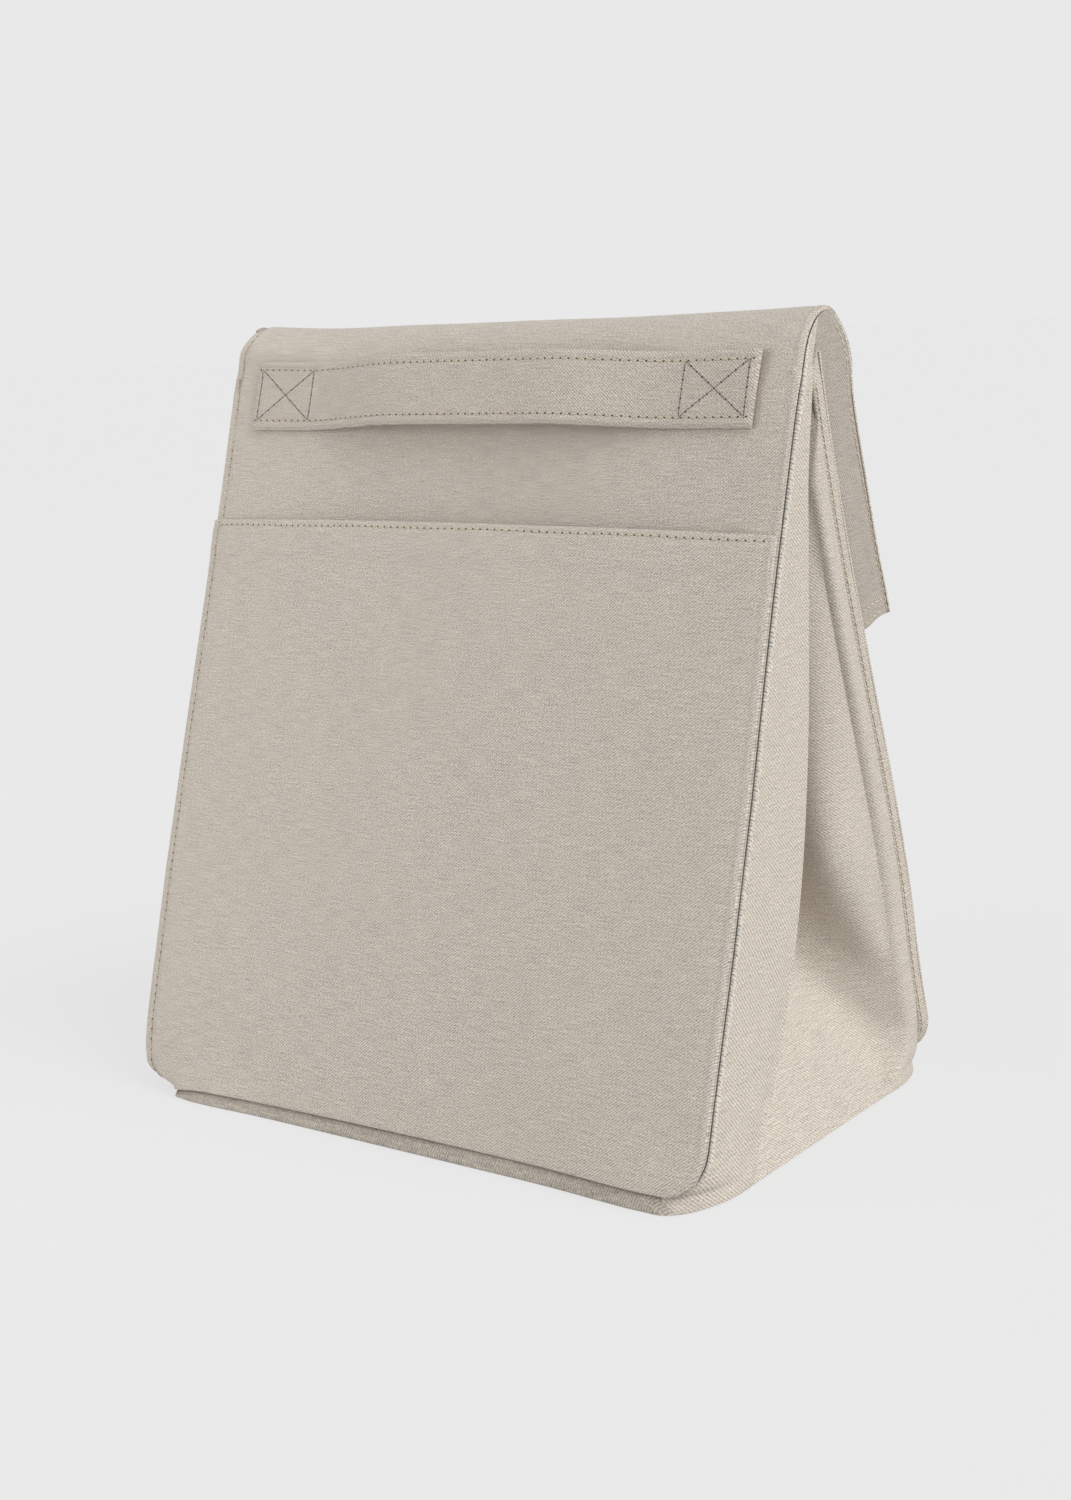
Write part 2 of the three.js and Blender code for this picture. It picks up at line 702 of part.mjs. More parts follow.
// Side folds of the flap: an outer half on the outer leaf, an inner half on the inner leaf
function addFlapGussets() {
  const low = foldHeight - flapDrop + gap;
  const rows = steps(low, flapStart.y - flapSideStart, leafSteps);
  const outerFace = (z) => (
    flapStart.x + (flapStart.y - z) * Math.tan(flapLean)
    - (skin + gap + lining + gap) / Math.cos(flapLean)
  );
  const innerFace = (z) => backY(z, -leafGap - skin - gap - lining - gap);
  const sideX = flapHalf() - gap;
  const half = (line, endNormal) => {
    const near = rows.map((z) => line(z).map((p) => new THREE.Vector3(p.x, p.y, z)));
    const far = rows.map((z) => offsetLine(line(z), skin, null, endNormal)
      .map((p) => new THREE.Vector3(p.x, p.y, z)));
    return sheetGeometry(near, far);
  };
  const at = (z, share) => THREE.MathUtils.lerp(outerFace(z), innerFace(z), share);
  const outerLine = (z) => [
    new THREE.Vector2(flapValley, at(z, flapValleyShare)),
    new THREE.Vector2(sideX - flapSideDraw, at(z, flapTurn)),
    new THREE.Vector2(sideX, at(z, 0)),
  ];
  const innerLine = (z) => [
    new THREE.Vector2(sideX, innerFace(z) + skin),
    new THREE.Vector2(flapValley, at(z, flapValleyShare) - gap * 2),
  ];
  addPair('flap_gusset_outer', half(outerLine, new THREE.Vector2(-1, 0)), sideCloth);
  addPair('flap_gusset_inner', half(innerLine), sideCloth);
}

addBase();
addFront();
addBack();
addGussets();
addPocket();
addHandle();
addFolds();
addOuterLeaf();
addInnerLeaf();
addTapes();
addFlapGussets();

export default bag;
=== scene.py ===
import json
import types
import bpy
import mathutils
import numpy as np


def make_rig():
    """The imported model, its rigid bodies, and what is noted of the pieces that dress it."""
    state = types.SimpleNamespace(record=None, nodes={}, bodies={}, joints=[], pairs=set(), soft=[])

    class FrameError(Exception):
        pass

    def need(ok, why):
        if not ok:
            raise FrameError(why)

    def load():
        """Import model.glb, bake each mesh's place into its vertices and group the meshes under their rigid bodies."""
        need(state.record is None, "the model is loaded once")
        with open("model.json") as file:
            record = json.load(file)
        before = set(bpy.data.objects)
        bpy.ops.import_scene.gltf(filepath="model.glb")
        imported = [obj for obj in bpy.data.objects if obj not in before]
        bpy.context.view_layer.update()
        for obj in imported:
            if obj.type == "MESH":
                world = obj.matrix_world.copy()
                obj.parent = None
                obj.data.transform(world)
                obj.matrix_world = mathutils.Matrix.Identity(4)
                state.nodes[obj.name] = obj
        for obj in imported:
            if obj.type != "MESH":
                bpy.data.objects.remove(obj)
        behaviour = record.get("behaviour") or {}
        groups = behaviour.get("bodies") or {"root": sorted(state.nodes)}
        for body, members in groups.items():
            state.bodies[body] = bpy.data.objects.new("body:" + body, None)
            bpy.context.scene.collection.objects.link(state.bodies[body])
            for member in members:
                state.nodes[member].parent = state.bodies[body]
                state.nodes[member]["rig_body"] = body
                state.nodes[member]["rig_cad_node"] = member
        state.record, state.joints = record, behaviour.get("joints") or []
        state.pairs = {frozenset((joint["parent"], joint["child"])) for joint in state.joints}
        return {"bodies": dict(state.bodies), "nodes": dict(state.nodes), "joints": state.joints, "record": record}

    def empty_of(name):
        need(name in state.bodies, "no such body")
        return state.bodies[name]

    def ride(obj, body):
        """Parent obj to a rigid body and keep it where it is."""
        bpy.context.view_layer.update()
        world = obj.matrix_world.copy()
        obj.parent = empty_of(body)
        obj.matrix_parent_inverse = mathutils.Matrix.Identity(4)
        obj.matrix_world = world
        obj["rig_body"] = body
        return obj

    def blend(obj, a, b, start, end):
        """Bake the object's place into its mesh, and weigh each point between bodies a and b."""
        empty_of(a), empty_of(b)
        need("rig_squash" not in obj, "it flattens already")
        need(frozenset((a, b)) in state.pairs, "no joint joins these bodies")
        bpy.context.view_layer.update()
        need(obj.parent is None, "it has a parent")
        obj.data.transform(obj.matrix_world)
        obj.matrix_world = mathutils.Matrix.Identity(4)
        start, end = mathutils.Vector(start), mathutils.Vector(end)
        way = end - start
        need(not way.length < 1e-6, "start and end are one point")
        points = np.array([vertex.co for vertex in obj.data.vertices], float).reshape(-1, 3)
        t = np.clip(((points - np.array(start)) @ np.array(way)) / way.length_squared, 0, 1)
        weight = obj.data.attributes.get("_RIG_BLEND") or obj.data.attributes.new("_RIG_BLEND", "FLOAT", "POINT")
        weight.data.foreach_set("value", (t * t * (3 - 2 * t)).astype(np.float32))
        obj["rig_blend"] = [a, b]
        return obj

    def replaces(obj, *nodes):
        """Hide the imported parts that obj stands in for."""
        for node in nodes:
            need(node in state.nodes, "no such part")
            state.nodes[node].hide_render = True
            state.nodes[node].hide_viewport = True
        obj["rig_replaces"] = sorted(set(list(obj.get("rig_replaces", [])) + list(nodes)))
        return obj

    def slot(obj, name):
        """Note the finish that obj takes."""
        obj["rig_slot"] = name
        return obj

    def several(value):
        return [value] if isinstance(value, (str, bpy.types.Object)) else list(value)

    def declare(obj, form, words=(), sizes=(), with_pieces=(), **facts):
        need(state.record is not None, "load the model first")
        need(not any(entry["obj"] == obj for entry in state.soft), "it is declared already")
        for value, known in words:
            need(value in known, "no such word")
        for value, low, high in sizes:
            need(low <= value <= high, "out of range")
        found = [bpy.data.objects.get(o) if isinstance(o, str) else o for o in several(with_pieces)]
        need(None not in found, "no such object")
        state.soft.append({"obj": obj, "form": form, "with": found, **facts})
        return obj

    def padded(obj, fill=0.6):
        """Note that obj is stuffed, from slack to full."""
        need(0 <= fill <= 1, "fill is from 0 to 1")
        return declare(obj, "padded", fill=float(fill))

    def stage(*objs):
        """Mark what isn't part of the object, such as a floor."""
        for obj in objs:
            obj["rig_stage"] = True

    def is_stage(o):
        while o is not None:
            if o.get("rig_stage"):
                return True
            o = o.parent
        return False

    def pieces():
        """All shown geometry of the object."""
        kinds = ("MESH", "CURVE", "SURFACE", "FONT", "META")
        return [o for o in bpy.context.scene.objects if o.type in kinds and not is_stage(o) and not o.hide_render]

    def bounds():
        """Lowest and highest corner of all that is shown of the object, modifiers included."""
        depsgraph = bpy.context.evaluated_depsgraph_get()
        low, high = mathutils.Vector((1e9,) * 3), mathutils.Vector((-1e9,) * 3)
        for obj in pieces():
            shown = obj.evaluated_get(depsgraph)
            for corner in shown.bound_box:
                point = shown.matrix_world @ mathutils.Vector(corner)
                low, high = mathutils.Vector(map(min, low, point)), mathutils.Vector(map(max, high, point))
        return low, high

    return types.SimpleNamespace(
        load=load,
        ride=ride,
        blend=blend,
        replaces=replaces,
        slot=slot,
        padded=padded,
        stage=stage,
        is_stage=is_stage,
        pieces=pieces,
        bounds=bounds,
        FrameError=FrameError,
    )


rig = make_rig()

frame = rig.load()

import json
import math

import bpy
import numpy as np
from mathutils import Matrix, Vector

cad_box = [list(corner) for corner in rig.bounds()]

# sizes in millimetres: the bag's are those of the part's source, the strap's are set to the photo
MM = 0.001
HALF_WIDTH = 120.0
GUSSET_X = 119.0
FOLD_HALF = 117.2
BASE_DEPTH = 154.0
FOLD_HEIGHT = 263.5
FRONT_FOOT = np.array([-77.0, 0.0])
FRONT_BEND = np.array([-3.45, 238.0])
FLAP_START = np.array([33.05, 243.0])
FLAP_LEAN = 0.27
FLAP_LENGTH = 83.01
BACK_FOOT_Y = 76.4
BACK_TOP_Y = 11.0
BACK_TOP = 250.0
BACK_BELLY = 11.4
BACK_TUCK = 7.3
GAP = 0.3
SKIN = 1.0
INSIDE = SKIN + GAP
WALL_FOAM = 3.0
LINING = 0.6
WALL_FOOT = 5.3
PAD_FOOT = WALL_FOOT + 0.2
POCKET_FOOT = 5.5
CORNER_RISE = 31.0
BASE_CORNER = 24.0
SEAM_LAP = 5.6
FOLD_LAP = 1.6
BACK_STRIP = 11.5
CREST_TOP = 5.0
CREST_REACH = 53.0
CREST_SETTLE = 65.0
TUCK_APEX = 63.0
VALLEY_FLOOR = 2.4
FOOT_RIDGE = 3.0
GUSSET_PAD_TOP = 205.0
GUSSET_TOP = 243.0
FRONT_INSIDE_TOP = 240.0
WALL_PAD_TOP = 227.5
POCKET_MOUTH = 206.2
POCKET_BULGE = 7.0
STRAP_CENTRE = 250.4
STRAP_WIDTH = 24.9
STRAP_END = {1: 106.3, -1: 104.4}
BOX = {1: (80.2, 104.0), -1: (76.9, 101.9)}
BOX_HALF = 9.15
SEWN_END = 78.0
GRIP_END = 48.0
STRAP_THICK = 2.4
GRIP_RISE = 9.0
LEAF_GAP = 3.6
LEAF_BACK = LEAF_GAP + SKIN
FLAP_TOP_Z = 237.0
FLAP_HEM_Z = 163.0
INNER_HEM_Z = 161.5
FLAP_VALLEY = 50.0
FLAP_VALLEY_SHARE = 0.84
LEAF_HALF = 114.0
LEAF_SPAN = 12.0
BACK_OUT = np.array([0.967, 0.254])

# stitches
THREAD = 0.42
STITCH = 2.5
STITCH_LIFT = 0.05
STRAP_HOLE = 0.42
HEM_ROWS = (1.8, 5.3)
CALM_EDGE = 14.0
TANGENT_STEP = 0.4
SIDE_ROW = 2.9
FOOT_X = 13.0
FOOT_Y = 25.0
FOOT_RISE_X = 20.0
PITCH = 3.0

# places where rows of points start to lie closer or wider apart
CORNER_TOP = 33.0
CORNER_ROWS = (14, CORNER_TOP, 8)
FOLD_FROM = 249.0


# profiles
def unit(v):
    """Directions of length 1, one per row."""
    return v / np.maximum(np.linalg.norm(v, axis=-1, keepdims=True), 1e-9)


def lengths(line):
    """Length along a line, at each of its points."""
    return np.r_[0, np.cumsum(np.linalg.norm(np.diff(line, axis=0), axis=1))]


def along(place, run, line):
    """Points of a line at some places, where run holds the place of each of its own points."""
    return np.stack([np.interp(place, run, line[:, k]) for k in range(line.shape[1])], -1)


def joined(x, yz):
    return np.concatenate([x[..., None], yz], -1)


def bezier(p, t):
    t = np.asarray(t, float)[..., None]
    u = 1 - t
    return u**3 * p[0] + 3 * u * u * t * p[1] + 3 * u * t * t * p[2] + t**3 * p[3]


FRONT_DIR = unit(FRONT_BEND - FRONT_FOOT)
FLAP_DIR = np.array([math.sin(FLAP_LEAN), -math.cos(FLAP_LEAN)])


def outer_profile():
    pull = (8 * FOLD_HEIGHT - 4 * FRONT_BEND[1] - 4 * FLAP_START[1]) / (3 * (FRONT_DIR[1] - FLAP_DIR[1]))
    knots = [FRONT_BEND, FRONT_BEND + FRONT_DIR * pull, FLAP_START - FLAP_DIR * pull, FLAP_START]
    line = np.vstack([FRONT_FOOT, bezier(knots, np.linspace(0, 1, 400)), FLAP_START + FLAP_DIR * FLAP_LENGTH])
    return line, lengths(line)


PROFILE, PROFILE_S = outer_profile()
BEND_S = float(np.linalg.norm(FRONT_BEND - FRONT_FOOT))
END_S = float(PROFILE_S[-1])
J_S = END_S - FLAP_LENGTH


def front_at(s, depth=0.0):
    """Point (y, z) of the outer profile at length s, moved inwards by depth."""
    s = np.asarray(s, float)
    at = lambda q: along(q, PROFILE_S, PROFILE)
    t = unit(at(np.minimum(s + TANGENT_STEP, END_S)) - at(np.maximum(s - TANGENT_STEP, 0)))
    inward = np.stack([t[..., 1], -t[..., 0]], -1)
    return at(s) + inward * np.asarray(depth, float)[..., None]


def front_y(z, depth=0.0):
    return FRONT_FOOT[0] + FRONT_DIR[0] / FRONT_DIR[1] * np.asarray(z, float) + depth / FRONT_DIR[1]


BACK_COS = BACK_TOP / math.hypot(BACK_TOP, BACK_FOOT_Y - BACK_TOP_Y)


def back_y(z, depth=0.0):
    line = lambda share: BACK_FOOT_Y + (BACK_TOP_Y - BACK_FOOT_Y) * share
    knots = np.array([BACK_FOOT_Y, line(1 / 3) + BACK_BELLY, line(2 / 3) - BACK_TUCK, BACK_TOP_Y])
    t = np.clip(np.asarray(z, float) / BACK_TOP, 0, 1)
    return bezier(knots[:, None], t)[..., 0] - depth / BACK_COS


def corner_inset(z, foot, above, top=CORNER_RISE):
    rise = np.clip((top - np.asarray(z, float)) / (top - WALL_FOOT), 0, 1)
    return above + (foot - above) * (1 - np.sqrt(1 - rise * rise))


def seam_turn(z):
    share = np.clip((z - GUSSET_PAD_TOP) / (GUSSET_TOP - GUSSET_PAD_TOP), 0, 1)
    return SEAM_LAP + (FOLD_LAP - SEAM_LAP) * share


def skin_half(z):
    return HALF_WIDTH - corner_inset(z, FOOT_X, 0, FOOT_RISE_X)


def side_half(s):
    """Half width of the front cloth at length s: it narrows a little over the fold and down the flap."""
    narrowing = 1.5 * smooth(250, 275, s) + 1.0 * smooth(J_S - 32, J_S + 6, s)
    return np.minimum(skin_half(front_at(s)[..., 1]), HALF_WIDTH - narrowing)


def inner_half(z):
    return GUSSET_X - corner_inset(z, BASE_CORNER, seam_turn(z)) - GAP


def smooth(a, b, t):
    t = np.clip((np.asarray(t, float) - a) / (b - a), 0, 1)
    return t * t * (3 - 2 * t)


def bump(t, centre, width):
    return np.exp(-(((np.asarray(t, float) - centre) / width) ** 2))


def waves(u, v, seed, wavelengths=(95, 61, 43), weight=(1, 0.6, 0.35)):
    """Gentle unevenness of soft cloth, between about -1 and 1. The same for the same seed."""
    rng = np.random.default_rng(seed)
    total = np.zeros(np.broadcast(u, v).shape)
    for length, w in zip(wavelengths, weight):
        for _ in range(3):
            a = rng.uniform(0, math.tau)
            phase = rng.uniform(0, math.tau)
            total = total + w * np.sin((u * math.cos(a) + v * math.sin(a)) * math.tau / length + phase)
    return total / (3 * sum(weight)) * 1.8


# slack of the bag: it leans a little to one side, its fold sags and its foot bulges at the corners
LEAN_Z = [0, 12, 30, 75, 120, 175, 240]
LEAN_LEFT = [0.4, 1.0, 0.6, 0.4, 1.2, 2.6, 3.2]
LEAN_RIGHT = [-0.4, -0.8, -0.9, 0.0, -0.2, -1.8, -1.8]
SAG = 1.1
CREST_Z = [0, 27.8, 40, 63.5, 97.6, 144, 187.3, 226.6, 241.5, 251.8, 260.9]
CREST_Y = [-48, -35.8, -24, -15, -7, -1.3, 1.8, 4.1, 6.4, 10.7, 14.3]


def crest_y(z):
    return np.interp(z, CREST_Z, CREST_Y)


def settled(points):
    """The points moved as the soft bag hangs. Pieces that touch move together.

    x, y and z are views of the points, so each move starts from where the last one left them.
    """
    points = np.array(points, float)
    x, y, z = points.T
    front = front_y(np.minimum(z, FRONT_BEND[1]))
    back = np.maximum(back_y(z), 25)
    crest = crest_y(z)
    to_back = np.clip((back - y) / (back - front), 0, 1)
    to_crest = np.clip((crest - y) / np.maximum(crest - front, 1), 0, 1)
    left = np.interp(z, LEAN_Z, LEAN_LEFT) * (0.5 - x / (2 * HALF_WIDTH)) * to_back
    right = np.interp(z, LEAN_Z, LEAN_RIGHT) * (0.5 + x / (2 * HALF_WIDTH)) * to_crest
    foot = (1.8 * bump(x, 97, 24) + 1.2 * bump(x, -88, 20)) * smooth(26, 2, z) * to_back**4
    shoulder = 2.4 * bump(z, 250, 13) + 1.2 * smooth(190, 166, z) * smooth(44, 50, y)
    shoulder = shoulder * smooth(20, 30, y) * smooth(-60, 115, x) * (z > 150)
    squared = 3.4 * bump(z, 257, 5.5) * smooth(-60, -118, x) * np.minimum(1, 2 * to_crest)
    tucked = 2.3 * bump(z, 40, 28) * smooth(-60, 115, x) * smooth(0.45, 0.1, to_back)
    points[:, 1] = y + left + right - foot + shoulder - squared - tucked
    sag = SAG * (1 - np.clip(np.abs(x) / HALF_WIDTH, 0, 1) ** 4) - 0.8 * smooth(-60, -118, x)
    sink = 1.4 * smooth(20, -100, x) + 1.3 * smooth(-80, -114, x) + 1.1 * smooth(-86, -106, x)
    sink = sink * smooth(0, 5, z) * smooth(28, 7, z) * to_back**6
    points[:, 2] = z - sag * smooth(215, 262, z) - sink
    spread = 0.8 * np.sign(x) * smooth(100, 116, np.abs(x)) * smooth(14, 0, z)
    corner = 7.0 * smooth(-92, -119, x) * smooth(9, 3, z) + 6.5 * smooth(-98, -119, x) * smooth(5.5, 4.6, z)
    points[:, 2] += 0.9 * smooth(-94, -110, x) * smooth(4, 1, z) * smooth(20, -60, y)
    points[:, 0] = x + spread + corner * smooth(40, -60, y) + 0.9 * smooth(-108, -118, x)
    return points


# mesh making
def new_object(name, points, faces, uv=None):
    mesh = bpy.data.meshes.new(name)
    mesh.from_pydata((settled(points) * MM).tolist(), [], faces)
    mesh.validate()
    if uv is not None:
        layer = mesh.uv_layers.new(name="cloth")
        index = np.empty(len(mesh.loops), int)
        mesh.loops.foreach_get("vertex_index", index)
        layer.data.foreach_set("uv", (np.asarray(uv) * MM)[index].astype(np.float32).ravel())
    mesh.update()
    obj = bpy.data.objects.new(name, mesh)
    bpy.context.scene.collection.objects.link(obj)
    return obj


def grid_faces(rows, cols, offset=0, flip=False):
    i = np.arange(rows - 1)[:, None] * cols + np.arange(cols - 1)[None, :] + offset
    quads = np.stack([i, i + 1, i + cols + 1, i + cols], -1).reshape(-1, 4)
    return (quads[:, ::-1] if flip else quads).tolist()


def ring_faces(rows, cols):
    """Faces round stacked rings, with a cap on the first ring and on the last."""
    i = np.arange(cols)
    low = np.arange(rows - 1)[:, None] * cols + i
    high = np.arange(rows - 1)[:, None] * cols + (i + 1) % cols
    quads = np.stack([low, high, high + cols, low + cols], -1).reshape(-1, 4)
    return quads.tolist() + [i[::-1].tolist(), (low[-1] + cols).tolist()]


def shell(name, outer, inner, uv, edge=0.35):
    """Closed sheet of cloth between two grids of points, with softened edges."""
    rows, cols = outer.shape[:2]
    n = rows * cols
    faces = grid_faces(rows, cols) + grid_faces(rows, cols, n, flip=True)
    rim = [(0, c) for c in range(cols)] + [(r, cols - 1) for r in range(1, rows)]
    rim += [(rows - 1, c) for c in range(cols - 2, -1, -1)] + [(r, 0) for r in range(rows - 2, 0, -1)]
    at = [r * cols + c for r, c in rim]
    faces += [[a, a + n, b + n, b] for a, b in zip(at, at[1:] + at[:1])]
    points = np.concatenate([outer.reshape(-1, 3), inner.reshape(-1, 3)])
    obj = new_object(name, points, faces, np.concatenate([uv.reshape(-1, 2)] * 2))
    outward(obj)
    if edge:
        add_bevel(obj, edge)
    return finish_mesh(obj)


def side_shell(name, side, outer, inner, uv, edge):
    """Sheet made for the right side, or its mirror image for the left."""
    return shell(sided(name, side), mirror_x(outer, side), mirror_x(inner, side), uv, edge)


def lofted(name, rings, uv=None, sharp=60):
    """Closed body through stacked rings of points."""
    grid = np.stack(rings)
    obj = new_object(name, grid.reshape(-1, 3), ring_faces(*grid.shape[:2]), uv)
    outward(obj)
    return finish_mesh(obj, sharp)


def outward(obj):
    """Faces turned to the outside."""
    mesh = obj.data
    co = np.empty(len(mesh.vertices) * 3)
    mesh.vertices.foreach_get("co", co)
    co = co.reshape(-1, 3)
    mesh.calc_loop_triangles()
    tri = np.empty(len(mesh.loop_triangles) * 3, int)
    mesh.loop_triangles.foreach_get("vertices", tri)
    a, b, c = (co[tri.reshape(-1, 3)[:, k]] for k in range(3))
    if np.einsum("ij,ij->i", a, np.cross(b, c)).sum() < 0:
        mesh.flip_normals()


def add_bevel(obj, width):
    mod = obj.modifiers.new("edge", "BEVEL")
    mod.width = width * MM
    mod.segments = 2
    mod.limit_method = "ANGLE"
    mod.angle_limit = math.radians(60)
    mod.use_clamp_overlap = True


def finish_mesh(obj, sharp=50):
    """Modifiers applied, smooth shading with sharp corners kept."""
    if obj.modifiers:
        deps = bpy.context.evaluated_depsgraph_get()
        mesh = bpy.data.meshes.new_from_object(obj.evaluated_get(deps))
        obj.modifiers.clear()
        old = obj.data
        obj.data = mesh
        bpy.data.meshes.remove(old)
    obj.data.shade_smooth()
    obj.data.set_sharp_from_angle(angle=math.radians(sharp))
    return obj


def placed(obj, attach, *nodes):
    """Ties a piece to its body, and to the nodes of the part that it stands for."""
    attach(obj)
    if nodes:
        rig.replaces(obj, *nodes)
    return obj


def with_root(obj):
    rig.ride(obj, "root")


def with_inner_leaf(obj):
    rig.ride(obj, "flap_back")


def with_outer_leaf(obj):
    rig.ride(obj, "flap_front")


def with_fold(obj):
    """Bends a piece of the top over the fold's hinge."""
    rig.blend(obj, "root", "flap_back", start=(0, -0.0035, 0.25), end=(0, 0.033, 0.25))


def with_mouth(obj):
    """Bends a piece of the outer leaf over its hinge when the mouth opens."""
    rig.blend(obj, "flap_back", "flap_front", start=(0, *front_at(J_S) * MM), end=(0, *front_at(J_S + 12) * MM))


def width_grid(half, steps=33):
    """Columns over the width: rows of x for each half width, and the distance from the near edge."""
    near = np.array([0, 0.4, 0.9, 1.5, 2.1, 2.6, 3.1, 3.7, 4.6, 5.8, 7.2, 9.6, 14.0])
    half = np.asarray(half, float)[:, None]
    mid = np.linspace(-1, 1, steps)[1:-1] * (half - near[-1])
    x = np.concatenate([-half + near, mid, half - near[::-1]], axis=1)
    return x, half - np.abs(x)


def spaced(*parts):
    """Numbers through several stretches, each given as (start, end, count)."""
    out = [np.linspace(a, b, n, endpoint=False) for a, b, n in parts]
    return np.concatenate(out + [[parts[-1][1]]])


def profile_cloth(name, s_rows, half_of_s, depth, relief, thick=SKIN, steps=33):
    """Sheet along the outer profile. relief(x, s, edge) moves both faces outwards."""
    x, edge = width_grid(half_of_s(s_rows), steps)
    s = np.broadcast_to(s_rows[:, None], x.shape)
    lift = relief(x, s, edge)
    outer, inner = (joined(x, front_at(s, d - lift)) for d in (depth, depth + thick))
    return shell(name, outer, inner, np.stack([x, s], -1))


def wall_cloth(name, z_rows, half_of_z, face, depth, relief, thick=SKIN, steps=25, edge_soft=0.3):
    """Sheet with level rows along a wall face(z, depth)."""
    x, edge = width_grid(half_of_z(z_rows), steps)
    z = np.broadcast_to(z_rows[:, None], x.shape)
    lift = relief(x, z, edge) * (1.0 if face(100.0, 1.0) < face(100.0, 0.0) else -1.0)
    near, far = (np.stack([x, face(z, d) + lift, z], -1) for d in (depth, depth + thick))
    return shell(name, near, far, np.stack([x, z], -1), edge_soft)


# cloth of the front: wall, fold and outer leaf
def side_relief(edge, s, x, right=0.12):
    """Flat flange outside the side row of stitches, lower than the face. The left one is deeper."""
    left = np.asarray(x) < 0
    tug = 0.75 + 0.25 * np.cos(s * math.tau / PITCH)
    drop = np.where(left, 0.95 * (1 - smooth(3.0, 5.8, edge)), right * (1 - smooth(2.3, 7.0, edge)))
    crease = np.where(left, 0.3, 0.14) * bump(edge, SIDE_ROW, 0.6) * tug
    rim = np.where(left, 0.22, 0.4) * bump(edge, 0, 0.6) - np.where(left, 0, 0.12) * bump(edge, 1.5, 0.7)
    return -drop - crease - rim


def front_relief(x, s, edge):
    soft = 0.35 * waves(x, s, 11) + 0.33 * bump(s, 228, 16) * np.cos(x / 75)
    return soft * smooth(0, CALM_EDGE, edge) + side_relief(edge, s, x)


def make_front_cloth():
    rows = spaced((5.6, 14, 5), CORNER_ROWS, (CORNER_TOP, 200, 34), (200, FOLD_FROM, 14), (FOLD_FROM, J_S, 26))
    obj = profile_cloth("front_cloth", rows, side_half, 0.0, front_relief)
    return placed(obj, with_fold, "front_panel", "front_panel_fold")


def flap_relief(x, s, edge):
    hem = END_S - s
    soft = 0.5 * waves(x, s, 23) * smooth(0, CALM_EDGE, edge) * smooth(0, 20, hem)
    turned = 0.2 * (1 - smooth(6.6, 7.6, hem) - sum(bump(hem, up, 0.7) for up in HEM_ROWS))
    own = soft + side_relief(edge, s, np.abs(x)) + turned
    share = smooth(J_S + 1, J_S + 22, s)
    return own * share + front_relief(x, s, edge) * (1 - share)


def make_flap_cloth():
    plain, hem, edge = J_S + 14, END_S - 16, END_S - 8
    rows = spaced((J_S - 0.4, plain, 7), (plain, hem, 16), (hem, edge, 6), (edge, END_S, 16))
    obj = profile_cloth("flap_outer_cloth", rows, side_half, 0.0, flap_relief)
    return placed(obj, with_mouth, "front_panel_flap")


# pocket
def pocket_stand(x, s):
    """How far the pocket stands off the front, and how far each point is from its side edge."""
    half = skin_half(front_at(s)[..., 1]) - GAP
    rise = np.sin(np.clip((s - POCKET_FOOT) / (POCKET_MOUTH - POCKET_FOOT), 0, 1) * math.pi / 2)
    return GAP + 0.25 + POCKET_BULGE * (1 - (x / half) ** 2) * rise, half - np.abs(x)


def pocket_relief(x, s, edge):
    down = POCKET_MOUTH - s
    soft = 0.3 * waves(x, s, 5) * smooth(0, CALM_EDGE, edge) * smooth(0, 25, down)
    hem = 0.3 * smooth(13.2, 12.2, down) - 0.25 * bump(down, 2.2, 0.9) - 0.5 * bump(down, 0, 0.7)
    return soft + side_relief(edge, s, x, 0.35) + hem


def pocket_surface(x, s, depth=0.0):
    """Points on the pocket's outer face, or at a depth behind it."""
    stand, edge = pocket_stand(x, s)
    return joined(x, front_at(s, depth - (stand + pocket_relief(x, s, edge) + SKIN)))


def make_pocket():
    rows = spaced((6.0, 14, 5), CORNER_ROWS, (CORNER_TOP, 186, 30), (186, 199, 9), (199, POCKET_MOUTH, 12))
    x, _ = width_grid(skin_half(front_at(rows)[:, 1]) - GAP)
    s = np.broadcast_to(rows[:, None], x.shape)
    obj = shell("pocket_cloth", pocket_surface(x, s), pocket_surface(x, s, SKIN), np.stack([x, s], -1))
    return placed(obj, with_root, "front_pocket")


# back panel, its fold and the inner leaf
def back_relief(x, z, edge):
    return 0.5 * waves(x, z, 31) * smooth(0, CALM_EDGE, edge) + side_relief(edge, z, np.abs(x))


def make_back_cloth():
    rows = spaced((WALL_FOOT, 14, 5), CORNER_ROWS, (CORNER_TOP, 236, 38), (236, BACK_TOP, 5))
    return placed(wall_cloth("back_cloth", rows, skin_half, back_y, 0.0, back_relief), with_root, "back_panel")


def with_back_fold(obj):
    """Bends the roll between the back panel and the inner leaf."""
    middle = np.array([back_y(BACK_TOP, -LEAF_GAP / 2), BACK_TOP])
    start, end = (middle - BACK_OUT * 2.4) * MM, (middle + BACK_OUT * 2.4) * MM
    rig.blend(obj, "root", "flap_back", start=(0, *start), end=(0, *end))


